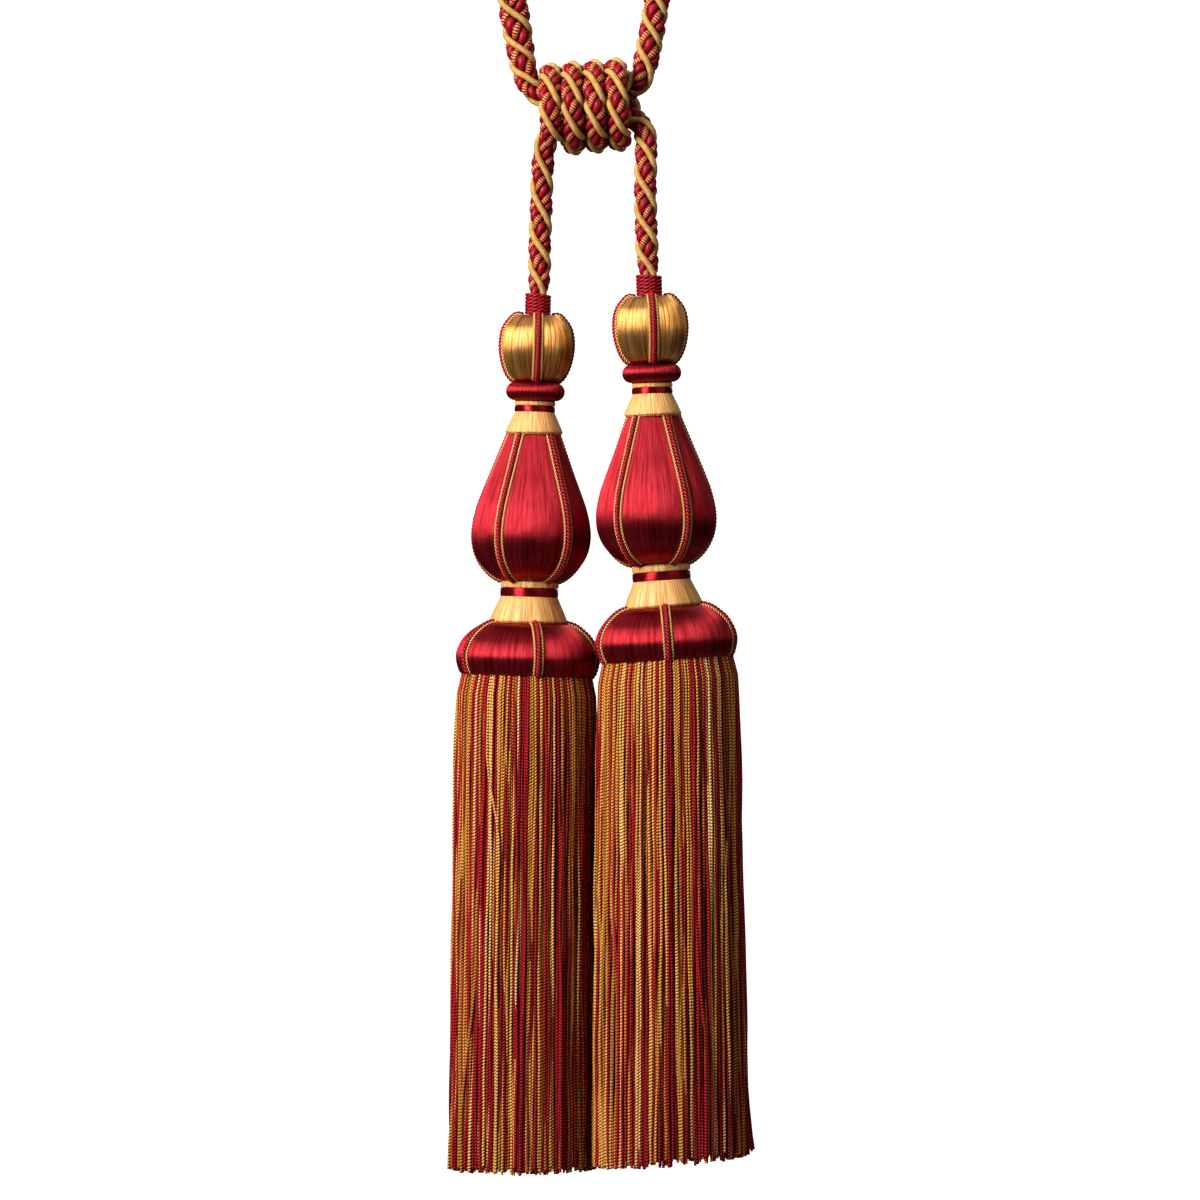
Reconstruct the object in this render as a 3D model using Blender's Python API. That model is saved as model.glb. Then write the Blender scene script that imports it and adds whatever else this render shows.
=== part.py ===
"""A curtain tieback with two tassels.

One rope runs from the neck of the left tassel up into a wound knot, round a hanging loop and
back through the knot to the neck of the right tassel. Each tassel is a stack of turned moulds
covered in satin thread, with two ruffs of cut thread, braided trims and a long fringe.

+Z is up and -Y is the front. The origin is the top of the hanging loop. Sizes are in
millimetres, and every mesh is scaled to metres once it is made.
"""

import math
import random
from collections import namedtuple

import bmesh
import bpy
import numpy as np
from mathutils import Matrix, Vector

MM = 0.001
GAP = 0.3

# The rope: its lay, and the section that the lay turns. Two thick strands lie at 0 and 180
# degrees, two thin cords at 90 and 270, and a valley between each pair of neighbours.
LAY_PITCH = 31.0
LAY_STEPS = 7.5
SectionPoint = namedtuple("SectionPoint", "angle reach")
HALF_SECTION = (
    SectionPoint(angle=0, reach=1.00),
    SectionPoint(angle=55, reach=0.84),
    SectionPoint(angle=90, reach=0.95),
    SectionPoint(angle=125, reach=0.84),
)

# The knot: four turns of rope round the two ropes that cross inside it. Each turn stands at its
# front's place along the knot's axis and leans to its top's place; its back leads to the next.
KNOT_CENTRE = Vector((-4.8, 0.0, -277.9))
KNOT_TILT = 4.5
KNOT_TURN_RADIUS = 14.4
KNOT_ROPE_RADIUS = 4.7
KNOT_SQUEEZE = 0.88
KNOT_STEP = 18
KNOT_START = -14
KNOT_END_PAST_TOP = 100
KnotTurn = namedtuple("KnotTurn", "front top")
KNOT_TURNS = (
    KnotTurn(front=-13.6, top=-12.2),
    KnotTurn(front=-4.7, top=-3.6),
    KnotTurn(front=4.3, top=5.0),
    KnotTurn(front=13.4, top=13.6),
)
CROSSING_RADIUS = 4.75
CROSSING_MIDDLE = 0.8
CROSSING_HALF_LENGTH = 10.0
CROSSING_ROPE_RADIUS = 4.35

# Heights on a tassel count from the top of its ball.
NECK_ROPE_RADIUS = 3.9
NECK_ROPE_END = -0.7
WHIPPING_BOTTOM = -0.95
WHIPPING_TURNS = 5
WHIPPING_TURN_HEIGHT = 2.0
WHIPPING_RADIUS = 5.35
WHIPPING_DEPTH = 0.45
BEAD_CENTRE = -30.8
BEAD_RADIUS = 11.8
BEAD_HALF_HEIGHT = 3.65
TURNED_SIDES = 18
WHIPPING_SIDES = 14

Collar = namedtuple(
    "Collar", "name top rim_radius rim_height waist_radius band_height ruff_radius ruff_height"
)
UPPER_COLLAR = Collar("upper", -34.8, 8.2, 1.7, 7.2, 2.8, 11.5, 8.3)
LOWER_COLLAR = Collar("lower", -107.2, 11.7, 2.4, 10.7, 3.8, 15.6, 10.0)
RIM_EDGE = 0.5

# A mould is a turned body drawn in where its trims are sewn on. Its profile runs from top to
# bottom. The trims lie on flats, whose half angle is land, between bulging lobes, and run from
# one station to another, counted down the profile.
ProfilePoint = namedtuple("ProfilePoint", "radius height")
Mould = namedtuple("Mould", "name stations lobes land draw_in trim_from trim_to profile")
BALL = Mould(
    "ball", 11, 4, 9.5, 0.05, 0.5, 8.2,
    (
        ProfilePoint(5.9, -1.3),
        ProfilePoint(8.8, -0.3),
        ProfilePoint(11.7, -2.5),
        ProfilePoint(14.2, -6.0),
        ProfilePoint(15.2, -11.6),
        ProfilePoint(14.7, -17.0),
        ProfilePoint(12.6, -23.0),
        ProfilePoint(10.0, -26.0),
        ProfilePoint(7.4, -26.8),
    ),
)
PEAR = Mould(
    "pear", 13, 5, 6.0, 0.025, 0.22, 11.3,
    (
        ProfilePoint(10.2, -47.9),
        ProfilePoint(13.4, -55.6),
        ProfilePoint(16.6, -63.4),
        ProfilePoint(19.8, -71.2),
        ProfilePoint(22.6, -79.0),
        ProfilePoint(24.1, -87.0),
        ProfilePoint(23.7, -93.2),
        ProfilePoint(21.6, -98.6),
        ProfilePoint(17.6, -103.4),
        ProfilePoint(12.8, -106.3),
        ProfilePoint(9.4, -106.9),
    ),
)
CAP = Mould(
    "cap", 10, 5, 5.5, 0.03, 0.5, 8.4,
    (
        ProfilePoint(14.6, -123.7),
        ProfilePoint(19.0, -124.7),
        ProfilePoint(23.4, -127.6),
        ProfilePoint(26.8, -131.4),
        ProfilePoint(28.8, -137.0),
        ProfilePoint(28.2, -141.4),
        ProfilePoint(26.8, -144.4),
        ProfilePoint(25.0, -145.3),
    ),
)

# Across a trim: how far from its middle, and how far it stands off the mould.
TrimPoint = namedtuple("TrimPoint", "across rise")
TRIM_SECTION = (
    TrimPoint(-1.9, 0.0),
    TrimPoint(-1.3, 0.75),
    TrimPoint(0.0, 1.15),
    TrimPoint(1.3, 0.75),
    TrimPoint(1.9, 0.0),
)

# The fringe: a disc under the cap, and rings of locks that hang from it.
FRINGE_TOP = -145.6
FRINGE_DISC_RADIUS = 27.1
FRINGE_DISC_THICKNESS = 1.8
FRINGE_DISC_SIDES = 24
LOCK_DEPTH = 1.7
LOCK_FILL = 0.80
LOCK_ROOT_DEPTH = 0.9
LOCK_BEND_AT = 0.35
LOCK_BULGE = 1.0
LENGTH_SPREAD = 1.6
SIDE_SPREAD = 0.12
LockRing = namedtuple("LockRing", "locks root_radius inset")
LOCK_RINGS = (
    LockRing(locks=62, root_radius=25.8, inset=0.9),
    LockRing(locks=40, root_radius=22.0, inset=4.4),
)

# The two tassels. The place is the top of the ball, and lean tips the tassel's upper end to
# the right. Below the pear the pieces sit a little aside and lean further. The turns say where
# the trims stand, from the front towards the right.
Tassel = namedtuple(
    "Tassel", "name x y z lean lower_shift lower_drop lower_lean ball_turn pear_turn cap_turn"
)
LEFT = Tassel("left", -23.4, 8.0, -360.6, 1.72, 0.0, 0.0, 0.0, 3.0, 39.5, 10.0)
RIGHT = Tassel("right", 21.3, -8.0, -353.8, -1.72, 1.3, 0.35, -2.4, 5.4, 31.5, 1.0)
LOWER_PIVOT = Vector((0, 0, -107.05))

# The tips of each fringe lie on a circle of their own, at its own height and slope.
Tips = namedtuple("Tips", "x height radius slope seed")
LEFT_TIPS = Tips(-30.0, -701.8, 30.5, 0.0, 11)
RIGHT_TIPS = Tips(31.2, -697.0, 32.4, 4.6, 12)

# The route of the rope outside the knot and the necks, chosen by hand.
RopePoint = namedtuple("RopePoint", "x y z radius")
LEFT_LEG = (
    RopePoint(-22.7, 8.0, -345.0, 4.70),
    RopePoint(-22.6, 8.0, -333.0, 4.75),
    RopePoint(-22.0, 7.7, -318.0, 4.75),
    RopePoint(-21.6, 7.0, -306.0, 4.75),
    RopePoint(-21.0, 5.6, -297.4, 4.70),
    RopePoint(-19.6, 3.6, -290.6, 4.60),
    RopePoint(-17.2, 1.9, -286.0, 4.45),
)
RIGHT_ARM = (
    RopePoint(9.4, 1.4, -272.0, 4.35),
    RopePoint(14.1, 1.6, -270.8, 4.55),
    RopePoint(17.8, 1.2, -266.8, 4.95),
    RopePoint(19.8, 0.8, -260.4, 5.30),
    RopePoint(21.0, 0.3, -254.6, 5.40),
    RopePoint(22.4, 0.0, -247.4, 5.40),
    RopePoint(24.4, 0.0, -235.0, 5.40),
)
LOOP = (
    RopePoint(29.6, 0.0, -203.0, 5.50),
    RopePoint(35.2, 0.0, -163.0, 5.50),
    RopePoint(40.4, 0.0, -123.0, 5.50),
    RopePoint(43.8, 0.0, -84.0, 5.50),
    RopePoint(43.6, 0.0, -54.0, 5.50),
    RopePoint(37.4, 0.0, -29.0, 5.50),
    RopePoint(21.8, 0.0, -11.6, 5.50),
    RopePoint(-1.0, 0.0, -5.5, 5.50),
    RopePoint(-24.0, 0.0, -12.0, 5.60),
    RopePoint(-40.2, 0.0, -30.0, 5.70),
    RopePoint(-46.6, 0.0, -56.0, 5.80),
    RopePoint(-47.4, 0.0, -86.0, 5.90),
    RopePoint(-45.0, 0.0, -124.0, 6.00),
    RopePoint(-41.2, 0.0, -163.0, 6.10),
    RopePoint(-37.2, 0.0, -203.0, 6.20),
)
LEFT_ARM = (
    RopePoint(-33.4, 0.0, -235.0, 6.25),
    RopePoint(-31.7, 0.0, -246.0, 6.15),
    RopePoint(-30.2, -0.2, -255.0, 5.85),
    RopePoint(-28.6, -0.6, -263.6, 5.35),
    RopePoint(-26.2, -1.2, -269.8, 4.95),
    RopePoint(-22.2, -1.5, -273.4, 4.50),
    RopePoint(-18.0, -1.2, -274.3, 4.35),
)
RIGHT_LEG = (
    RopePoint(9.6, -1.4, -281.4, 4.35),
    RopePoint(14.4, -2.2, -282.3, 4.45),
    RopePoint(18.2, -3.6, -285.6, 4.60),
    RopePoint(19.9, -5.2, -291.0, 4.70),
    RopePoint(19.9, -7.0, -299.6, 4.75),
    RopePoint(19.7, -8.0, -312.0, 4.75),
    RopePoint(20.0, -8.0, -326.0, 4.75),
    RopePoint(20.5, -8.0, -338.0, 4.70),
)

# Colours of the finished pieces: red, green, blue and roughness.
Finish = namedtuple("Finish", "name colour roughness")
CRIMSON_SATIN = Finish("crimson_satin", (0.45, 0.015, 0.03), 0.35)
GOLD_SATIN = Finish("gold_satin", (0.62, 0.36, 0.08), 0.35)
PALE_GOLD_THREAD = Finish("pale_gold_thread", (0.78, 0.52, 0.20), 0.6)
CRIMSON_RIBBON = Finish("crimson_ribbon", (0.40, 0.01, 0.02), 0.3)
CRIMSON_CORD = Finish("crimson_cord", (0.42, 0.015, 0.03), 0.55)
ROPE_LAY = Finish("rope_lay", (0.50, 0.16, 0.06), 0.5)
TRIM_BRAID = Finish("trim_braid", (0.60, 0.25, 0.08), 0.55)
FRINGE_YARN = Finish("fringe_yarn", (0.52, 0.24, 0.06), 0.6)


def clear_scene():
    for piece in list(bpy.data.objects):
        bpy.data.objects.remove(piece, do_unlink=True)


def material(finish):
    made = bpy.data.materials.get(finish.name)
    if made:
        return made
    made = bpy.data.materials.new(finish.name)
    made.use_nodes = True
    made.diffuse_color = (*finish.colour, 1.0)
    surface = made.node_tree.nodes["Principled BSDF"]
    surface.inputs["Base Color"].default_value = (*finish.colour, 1.0)
    surface.inputs["Roughness"].default_value = finish.roughness
    surface.inputs["Metallic"].default_value = 0.0
    return made


def place(name, work, finish, parent=None):
    """Makes the object of a bmesh that is in millimetres, smooth, under its parent."""
    bmesh.ops.recalc_face_normals(work, faces=work.faces)
    mesh = bpy.data.meshes.new(name)
    work.to_mesh(mesh)
    work.free()
    mesh.transform(Matrix.Scale(MM, 4))
    mesh.materials.append(material(finish))
    mesh.shade_smooth()
    mesh.set_sharp_from_angle(angle=math.radians(50))
    piece = bpy.data.objects.new(name, mesh)
    bpy.context.scene.collection.objects.link(piece)
    piece.parent = parent
    return piece


def stand(name, matrix):
    """An empty that carries pieces; its matrix is in millimetres."""
    empty = bpy.data.objects.new(name, None)
    bpy.context.scene.collection.objects.link(empty)
    empty.location = matrix.translation * MM
    empty.rotation_euler = matrix.to_euler()
    return empty


def smooth_line(points, count):
    """count rows, evenly spaced along a smooth curve through the points (centripetal spline)."""
    points = np.array(points, float)
    points = np.vstack([2 * points[0] - points[1], points, 2 * points[-1] - points[-2]])
    places = points[:, :3] if points.shape[1] > 3 else points
    knots = np.cumsum([0, *np.sqrt(np.linalg.norm(np.diff(places, axis=0), axis=1))])
    fine = []
    for i in range(1, len(points) - 2):
        t0, t1, t2, t3 = knots[i - 1 : i + 3]
        p0, p1, p2, p3 = points[i - 1 : i + 3]
        for t in np.linspace(t1, t2, 40, endpoint=False):
            a1 = p0 + (p1 - p0) * (t - t0) / (t1 - t0)
            a2 = p1 + (p2 - p1) * (t - t1) / (t2 - t1)
            a3 = p2 + (p3 - p2) * (t - t2) / (t3 - t2)
            b1 = a1 + (a2 - a1) * (t - t0) / (t2 - t0)
            b2 = a2 + (a3 - a2) * (t - t1) / (t3 - t1)
            fine.append(b1 + (b2 - b1) * (t - t1) / (t2 - t1))
    fine = np.array([*fine, points[-2]])
    width = min(3, fine.shape[1])
    along = np.cumsum([0, *np.linalg.norm(np.diff(fine[:, :width], axis=0), axis=1)])
    if count is None:
        count = 2 + int(along[-1] * LAY_STEPS / LAY_PITCH)
    wanted = np.linspace(0, along[-1], count)
    return np.stack([np.interp(wanted, along, column) for column in fine.T], axis=1)


def skin(work, rings):
    """Joins rings of corners, each in its own flat section, into one closed body."""
    loops = [[work.verts.new(corner) for corner in ring] for ring in rings]
    for near, far in zip(loops, loops[1:]):
        for i in range(len(near)):
            j = (i + 1) % len(near)
            work.faces.new((near[i], near[j], far[j], far[i]))
    work.faces.new(reversed(loops[0]))
    work.faces.new(loops[-1])


def laid_rope(work, route, squeeze=1.0):
    """The rope's section carried along route (rows of x, y, z, radius) and turned by its lay.

    squeeze flattens each section along X, as a pressed turn is.
    """
    section = [
        (math.radians(point.angle + half), point.reach)
        for half in (0, 180)
        for point in HALF_SECTION
    ]
    places = [Vector(row[:3]) for row in route]
    side = Vector((0, 1, 0))
    travelled = 0.0
    rings = []
    for i, middle in enumerate(places):
        ahead = places[min(i + 1, len(places) - 1)]
        behind = places[max(i - 1, 0)]
        along = (ahead - behind).normalized()
        side = (side - along * side.dot(along)).normalized()
        across = along.cross(side)
        if i:
            travelled += (middle - places[i - 1]).length
        turn = -2 * math.pi * travelled / LAY_PITCH
        ring = []
        for angle, reach in section:
            out = side * math.cos(angle + turn) + across * math.sin(angle + turn)
            out *= route[i][3] * reach
            out.x *= squeeze
            ring.append(middle + out)
        rings.append(ring)
    skin(work, rings)


def knot_matrix():
    """The knot's own frame: X along its axis, Z up, -Y to the front."""
    tilt = Matrix.Rotation(math.radians(-KNOT_TILT), 4, "Y")
    return Matrix.Translation(KNOT_CENTRE) @ tilt


def crossing(side):
    """One rope on its way through the knot from left to right, half a turn round the other.

    side is 1 for the rope that rises in front, and -1 for the one that falls behind.
    """
    steps = 4
    rows = []
    for step in range(steps + 1):
        share = step / steps
        angle = math.radians(-90 + 180 * share)
        reach = side * CROSSING_RADIUS
        local = Vector(
            (
                CROSSING_MIDDLE + CROSSING_HALF_LENGTH * (2 * share - 1),
                -reach * math.cos(angle),
                reach * math.sin(angle),
            )
        )
        rows.append((*(knot_matrix() @ local), CROSSING_ROPE_RADIUS))
    return rows


def tassel_matrix(tassel):
    lean = Matrix.Rotation(math.radians(tassel.lean), 4, "Y")
    return Matrix.Translation((tassel.x, tassel.y, tassel.z)) @ lean


def lower_matrix(tassel):
    """The frame of what hangs under the pear, with heights counted as in the tassel's own."""
    shift = Vector((tassel.lower_shift, 0, -tassel.lower_drop))
    lean = Matrix.Rotation(math.radians(tassel.lower_lean), 4, "Y")
    pivot = Matrix.Translation(LOWER_PIVOT + shift)
    return tassel_matrix(tassel) @ pivot @ lean @ Matrix.Translation(-LOWER_PIVOT)


def neck(tassel):
    """The rope's last rows, from its end inside the whipping up to the whipping's top."""
    top = WHIPPING_BOTTOM + WHIPPING_TURNS * WHIPPING_TURN_HEIGHT
    rows = []
    for height in (NECK_ROPE_END, top / 2, top):
        rows.append((*(tassel_matrix(tassel) @ Vector((0, 0, height))), NECK_ROPE_RADIUS))
    return rows


def make_rope():
    route = [
        *neck(LEFT),
        *LEFT_LEG,
        *crossing(1),
        *RIGHT_ARM,
        *LOOP,
        *LEFT_ARM,
        *crossing(-1),
        *RIGHT_LEG,
        *reversed(neck(RIGHT)),
    ]
    work = bmesh.new()
    laid_rope(work, smooth_line(route, None))
    place("rope", work, ROPE_LAY)


def knot_row(angle):
    """A row of the knot's winding, at that angle round the axis: 0 at the front, 90 on top."""
    angles = []
    places = []
    for number, turn in enumerate(KNOT_TURNS):
        angles += [360 * number - 90, 360 * number, 360 * number + 90]
        places += [turn.front, turn.front, turn.top]
    spacing = KNOT_TURNS[-1].front - KNOT_TURNS[-2].front
    angles.append(angles[-1] + 180)
    places.append(places[-1] + spacing)
    return (
        float(np.interp(angle, angles, places)),
        -KNOT_TURN_RADIUS * math.cos(math.radians(angle)),
        KNOT_TURN_RADIUS * math.sin(math.radians(angle)),
        KNOT_ROPE_RADIUS,
    )


def make_knot():
    last = 90 + 360 * (len(KNOT_TURNS) - 1) + KNOT_END_PAST_TOP
    steps = round((last - KNOT_START) / KNOT_STEP)
    rows = [
        list(knot_row(KNOT_START + (last - KNOT_START) * step / steps)) for step in range(steps + 1)
    ]
    for row in (rows[0], rows[-1]):
        row[3] *= 0.5
    work = bmesh.new()
    laid_rope(work, rows, KNOT_SQUEEZE)
    place("knot_wrap", work, ROPE_LAY, stand("knot", knot_matrix()))


def turned(name, profile, finish, parent, sides=TURNED_SIDES):
    """A plain body turned round the tassel's axis, from a profile that closes on itself."""
    work = bmesh.new()
    corners = [work.verts.new((radius, 0, height)) for radius, height in profile]
    edges = [work.edges.new(pair) for pair in zip(corners, corners[1:])]
    if profile[0][0] > 0:
        edges.append(work.edges.new((corners[-1], corners[0])))
    bmesh.ops.spin(
        work,
        geom=corners + edges,
        cent=(0, 0, 0),
        axis=(0, 0, 1),
        angle=math.tau,
        steps=sides,
        use_merge=True,
    )
    bmesh.ops.remove_doubles(work, verts=work.verts, dist=0.001)
    place(name, work, finish, parent)


def make_whipping(tassel, parent):
    bottom = WHIPPING_BOTTOM
    top = bottom + WHIPPING_TURNS * WHIPPING_TURN_HEIGHT
    inner = NECK_ROPE_RADIUS + GAP
    valley = WHIPPING_RADIUS - WHIPPING_DEPTH
    profile = [(inner, top), (valley, top)]
    for turn in range(WHIPPING_TURNS):
        crest = top - WHIPPING_TURN_HEIGHT * (turn + 0.5)
        profile.append((WHIPPING_RADIUS, crest))
        profile.append((valley, crest - WHIPPING_TURN_HEIGHT / 2))
    profile.append((inner, bottom))
    turned(tassel.name + "_neck_whipping", profile, CRIMSON_CORD, parent, WHIPPING_SIDES)


def make_bead(tassel, parent):
    middle = BEAD_RADIUS - BEAD_HALF_HEIGHT
    profile = [(0, BEAD_CENTRE + BEAD_HALF_HEIGHT)]
    for step in range(7):
        angle = math.radians(90 - 30 * step)
        profile.append(
            (
                middle + BEAD_HALF_HEIGHT * math.cos(angle),
                BEAD_CENTRE + BEAD_HALF_HEIGHT * math.sin(angle),
            )
        )
    profile.append((0, BEAD_CENTRE - BEAD_HALF_HEIGHT))
    turned(tassel.name + "_bead", profile, CRIMSON_SATIN, parent)


def make_collar(tassel, collar, parent):
    """The ruff with its rim, and the ribbon that lies in the waist between them."""
    rim_bottom = collar.top - collar.rim_height
    waist_bottom = rim_bottom - collar.band_height
    bottom = waist_bottom - collar.ruff_height
    profile = [
        (0, collar.top),
        (collar.rim_radius - RIM_EDGE, collar.top),
        (collar.rim_radius, collar.top - RIM_EDGE),
        (collar.rim_radius, rim_bottom + RIM_EDGE / 2),
        (collar.waist_radius, rim_bottom),
        (collar.waist_radius, waist_bottom),
        (collar.rim_radius, waist_bottom),
        (collar.ruff_radius, bottom + RIM_EDGE),
        (collar.ruff_radius - RIM_EDGE, bottom),
        (0, bottom),
    ]
    name = f"{tassel.name}_{collar.name}"
    turned(name + "_collar", profile, PALE_GOLD_THREAD, parent)
    inner = collar.waist_radius + GAP
    outer = collar.rim_radius - RIM_EDGE / 4
    band = [
        (inner, rim_bottom - GAP),
        (outer, rim_bottom - GAP),
        (outer, waist_bottom + GAP),
        (inner, waist_bottom + GAP),
    ]
    turned(name + "_band", band, CRIMSON_RIBBON, parent)


def lobe_angles(mould):
    """For each corner of a mould's section: its angle from the first trim, and its draw-in."""
    lobe = 360 / mould.lobes
    between = lobe - 2 * mould.land
    shape = ((0.0, 1.0), (0.25, 0.3), (0.5, 0.0), (0.75, 0.3), (1.0, 1.0))
    return [
        (first * lobe + mould.land + between * share, mould.draw_in * drawn)
        for first in range(mould.lobes)
        for share, drawn in shape
    ]


def from_front(angle):
    """The direction at that angle from the front, towards the right."""
    return Vector((math.sin(math.radians(angle)), -math.cos(math.radians(angle)), 0))


def make_mould(tassel, mould, turn, finish, parent):
    stations = smooth_line(mould.profile, mould.stations)
    work = bmesh.new()
    rings = []
    for radius, height in stations:
        rings.append(
            [
                from_front(turn + angle) * radius * (1 - drawn) + Vector((0, 0, height))
                for angle, drawn in lobe_angles(mould)
            ]
        )
    skin(work, rings)
    place(f"{tassel.name}_{mould.name}", work, finish, parent)
    for number in range(mould.lobes):
        angle = turn + number * 360 / mould.lobes
        make_trim(f"{tassel.name}_{mould.name}_trim_{number + 1}", mould, stations, angle, parent)


def make_trim(name, mould, stations, angle, parent):
    """A trim sewn down one side of a mould, on the flat between two lobes."""
    out = from_front(angle)
    across = from_front(angle + 90)
    on_flat = (1 - mould.draw_in) * math.cos(math.radians(mould.land))
    whole = range(math.floor(mould.trim_from) + 1, math.ceil(mould.trim_to))
    places = [mould.trim_from, *whole, mould.trim_to]
    numbers = range(mould.stations)
    line = [
        out * np.interp(at, numbers, stations[:, 0]) * on_flat
        + Vector((0, 0, np.interp(at, numbers, stations[:, 1])))
        for at in places
    ]
    rings = []
    for i in range(len(line)):
        along = (line[min(i + 1, len(line) - 1)] - line[max(i - 1, 0)]).normalized()
        rise = along.cross(across)
        rings.append(
            [line[i] + across * point.across + rise * (GAP + point.rise) for point in TRIM_SECTION]
        )
    work = bmesh.new()
    skin(work, rings)
    place(name, work, TRIM_BRAID, parent)


def make_lock(work, root, bend, tip, width):
    """A three-sided lock with its flat side outwards. Each place is a point and a direction."""
    rings = []
    for (middle, out), share in zip((root, bend, tip), (1.0, 1.04, 1.1)):
        across = Vector((-out.y, out.x, 0)) * width * share / 2
        rings.append(
            [middle + across, middle - across, middle - out * LOCK_DEPTH]
        )
    skin(work, rings)


def make_fringe(tassel, tips, parent):
    """The locks hang from the disc under the cap to the tips' own circle."""
    chance = random.Random(tips.seed)
    to_local = lower_matrix(tassel).inverted()
    slope = Matrix.Rotation(math.radians(-tips.slope), 4, "Y")
    tips_at = Vector((tips.x, tassel.y, tips.height))
    work = bmesh.new()
    for number, ring in enumerate(LOCK_RINGS):
        width = LOCK_FILL * math.tau * ring.root_radius / ring.locks
        for lock in range(ring.locks):
            angle = (lock + 0.5 * number) * 360 / ring.locks
            out = from_front(angle)
            root_height = FRINGE_TOP - LOCK_ROOT_DEPTH
            root = out * (ring.root_radius + LOCK_DEPTH / 2) + Vector((0, 0, root_height))
            aside = chance.uniform(-SIDE_SPREAD, SIDE_SPREAD) * 360 / ring.locks
            tip_out = from_front(angle + aside)
            tip = slope @ (tip_out * (tips.radius - ring.inset))
            tip.z += chance.uniform(-LENGTH_SPREAD, LENGTH_SPREAD)
            tip = to_local @ (tips_at + tip)
            bend_out = from_front(angle - aside)
            bend = root.lerp(tip, LOCK_BEND_AT) + (bend_out - out) * ring.root_radius + out * LOCK_BULGE
            make_lock(work, (root, out), (bend, bend_out), (tip, tip_out), width)
    locks = place(tassel.name + "_locks", work, FRINGE_YARN, parent)
    locks.hide_render = True
    locks.display_type = "WIRE"

    disc = bmesh.new()
    middle = FRINGE_TOP - FRINGE_DISC_THICKNESS / 2
    bmesh.ops.create_cone(
        disc,
        cap_ends=True,
        segments=FRINGE_DISC_SIDES,
        radius1=FRINGE_DISC_RADIUS,
        radius2=FRINGE_DISC_RADIUS,
        depth=FRINGE_DISC_THICKNESS,
        matrix=Matrix.Translation((0, 0, middle)),
    )
    fringe = place(tassel.name + "_fringe", disc, FRINGE_YARN, parent)
    join = fringe.modifiers.new("locks", "BOOLEAN")
    join.operation = "UNION"
    join.solver = "EXACT"
    join.object = locks


def make_tassel(tassel, tips):
    upper = stand(tassel.name + "_upper", tassel_matrix(tassel))
    lower = stand(tassel.name + "_lower", lower_matrix(tassel))
    make_whipping(tassel, upper)
    make_mould(tassel, BALL, tassel.ball_turn, GOLD_SATIN, upper)
    make_bead(tassel, upper)
    make_collar(tassel, UPPER_COLLAR, upper)
    make_mould(tassel, PEAR, tassel.pear_turn, CRIMSON_SATIN, upper)
    make_collar(tassel, LOWER_COLLAR, lower)
    make_mould(tassel, CAP, tassel.cap_turn, CRIMSON_SATIN, lower)
    make_fringe(tassel, tips, lower)


clear_scene()
make_rope()
make_knot()
make_tassel(LEFT, LEFT_TIPS)
make_tassel(RIGHT, RIGHT_TIPS)
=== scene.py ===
"""The looks of a curtain tieback with two tassels: rope, knot, thread-covered moulds and fringes."""

import math
import random
from collections import namedtuple

import bpy
import numpy as np
from mathutils import Matrix, Vector


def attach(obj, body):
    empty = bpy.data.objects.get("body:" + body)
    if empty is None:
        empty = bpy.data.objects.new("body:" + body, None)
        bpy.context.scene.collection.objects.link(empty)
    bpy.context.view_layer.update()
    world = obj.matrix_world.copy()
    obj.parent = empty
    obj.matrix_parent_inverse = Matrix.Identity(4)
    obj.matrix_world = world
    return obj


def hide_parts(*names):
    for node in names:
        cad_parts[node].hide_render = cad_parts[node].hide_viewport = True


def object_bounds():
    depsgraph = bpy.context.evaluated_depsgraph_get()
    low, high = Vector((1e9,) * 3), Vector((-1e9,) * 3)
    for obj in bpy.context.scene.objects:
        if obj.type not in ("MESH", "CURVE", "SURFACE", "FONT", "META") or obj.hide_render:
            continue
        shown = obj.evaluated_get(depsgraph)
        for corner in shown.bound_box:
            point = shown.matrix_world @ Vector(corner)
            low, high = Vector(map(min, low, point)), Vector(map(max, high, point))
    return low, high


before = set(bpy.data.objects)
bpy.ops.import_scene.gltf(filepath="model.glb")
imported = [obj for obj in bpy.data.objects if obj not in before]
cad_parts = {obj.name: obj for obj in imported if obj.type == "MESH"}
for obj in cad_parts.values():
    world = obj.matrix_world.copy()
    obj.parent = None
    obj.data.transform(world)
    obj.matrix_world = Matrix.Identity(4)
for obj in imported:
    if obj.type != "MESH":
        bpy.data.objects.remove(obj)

cad_low, cad_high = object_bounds()

# The studio: a pale floor well under the hanging piece, a white surround, one large soft light
# from the upper left of the camera, and weaker ones from the right, from above and from behind.
VIEW_HEIGHT = 0.480
VIEW_MIDDLE = Vector((0.0016, 0.0, -0.475))
VIEW_REACH = 50.0
CAMERA_DISTANCE = 2.6
SENSOR_WIDTH = 36.0
FLOOR_DROP = 0.60
FLOOR_RADIUS = 2.0
FLOOR_SIDES = 96
FLOOR_COLOUR = (0.82, 0.81, 0.79, 1.0)
FLOOR_ROUGHNESS = 0.9
SURROUND_COLOUR = (1.0, 1.0, 1.0, 1.0)
SURROUND_LIGHT = 0.04
SURROUND_SHOWN = 1.0
LIT_MIDDLE = Vector((0.0, 0.0, -0.285))
SoftLight = namedtuple("SoftLight", "name azimuth elevation distance width height spread power")
SOFT_LIGHTS = (
    SoftLight("key_light", -46, 20, 0.95, 0.5, 0.95, 80, 4.9),
    SoftLight("fill_light", 52, 18, 1.3, 1.3, 1.2, 120, 2.0),
    SoftLight("top_light", -10, 72, 1.1, 0.9, 0.9, 120, 1.3),
    SoftLight("back_light", 172, 24, 1.3, 1.0, 1.2, 120, 2.8),
)


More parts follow.
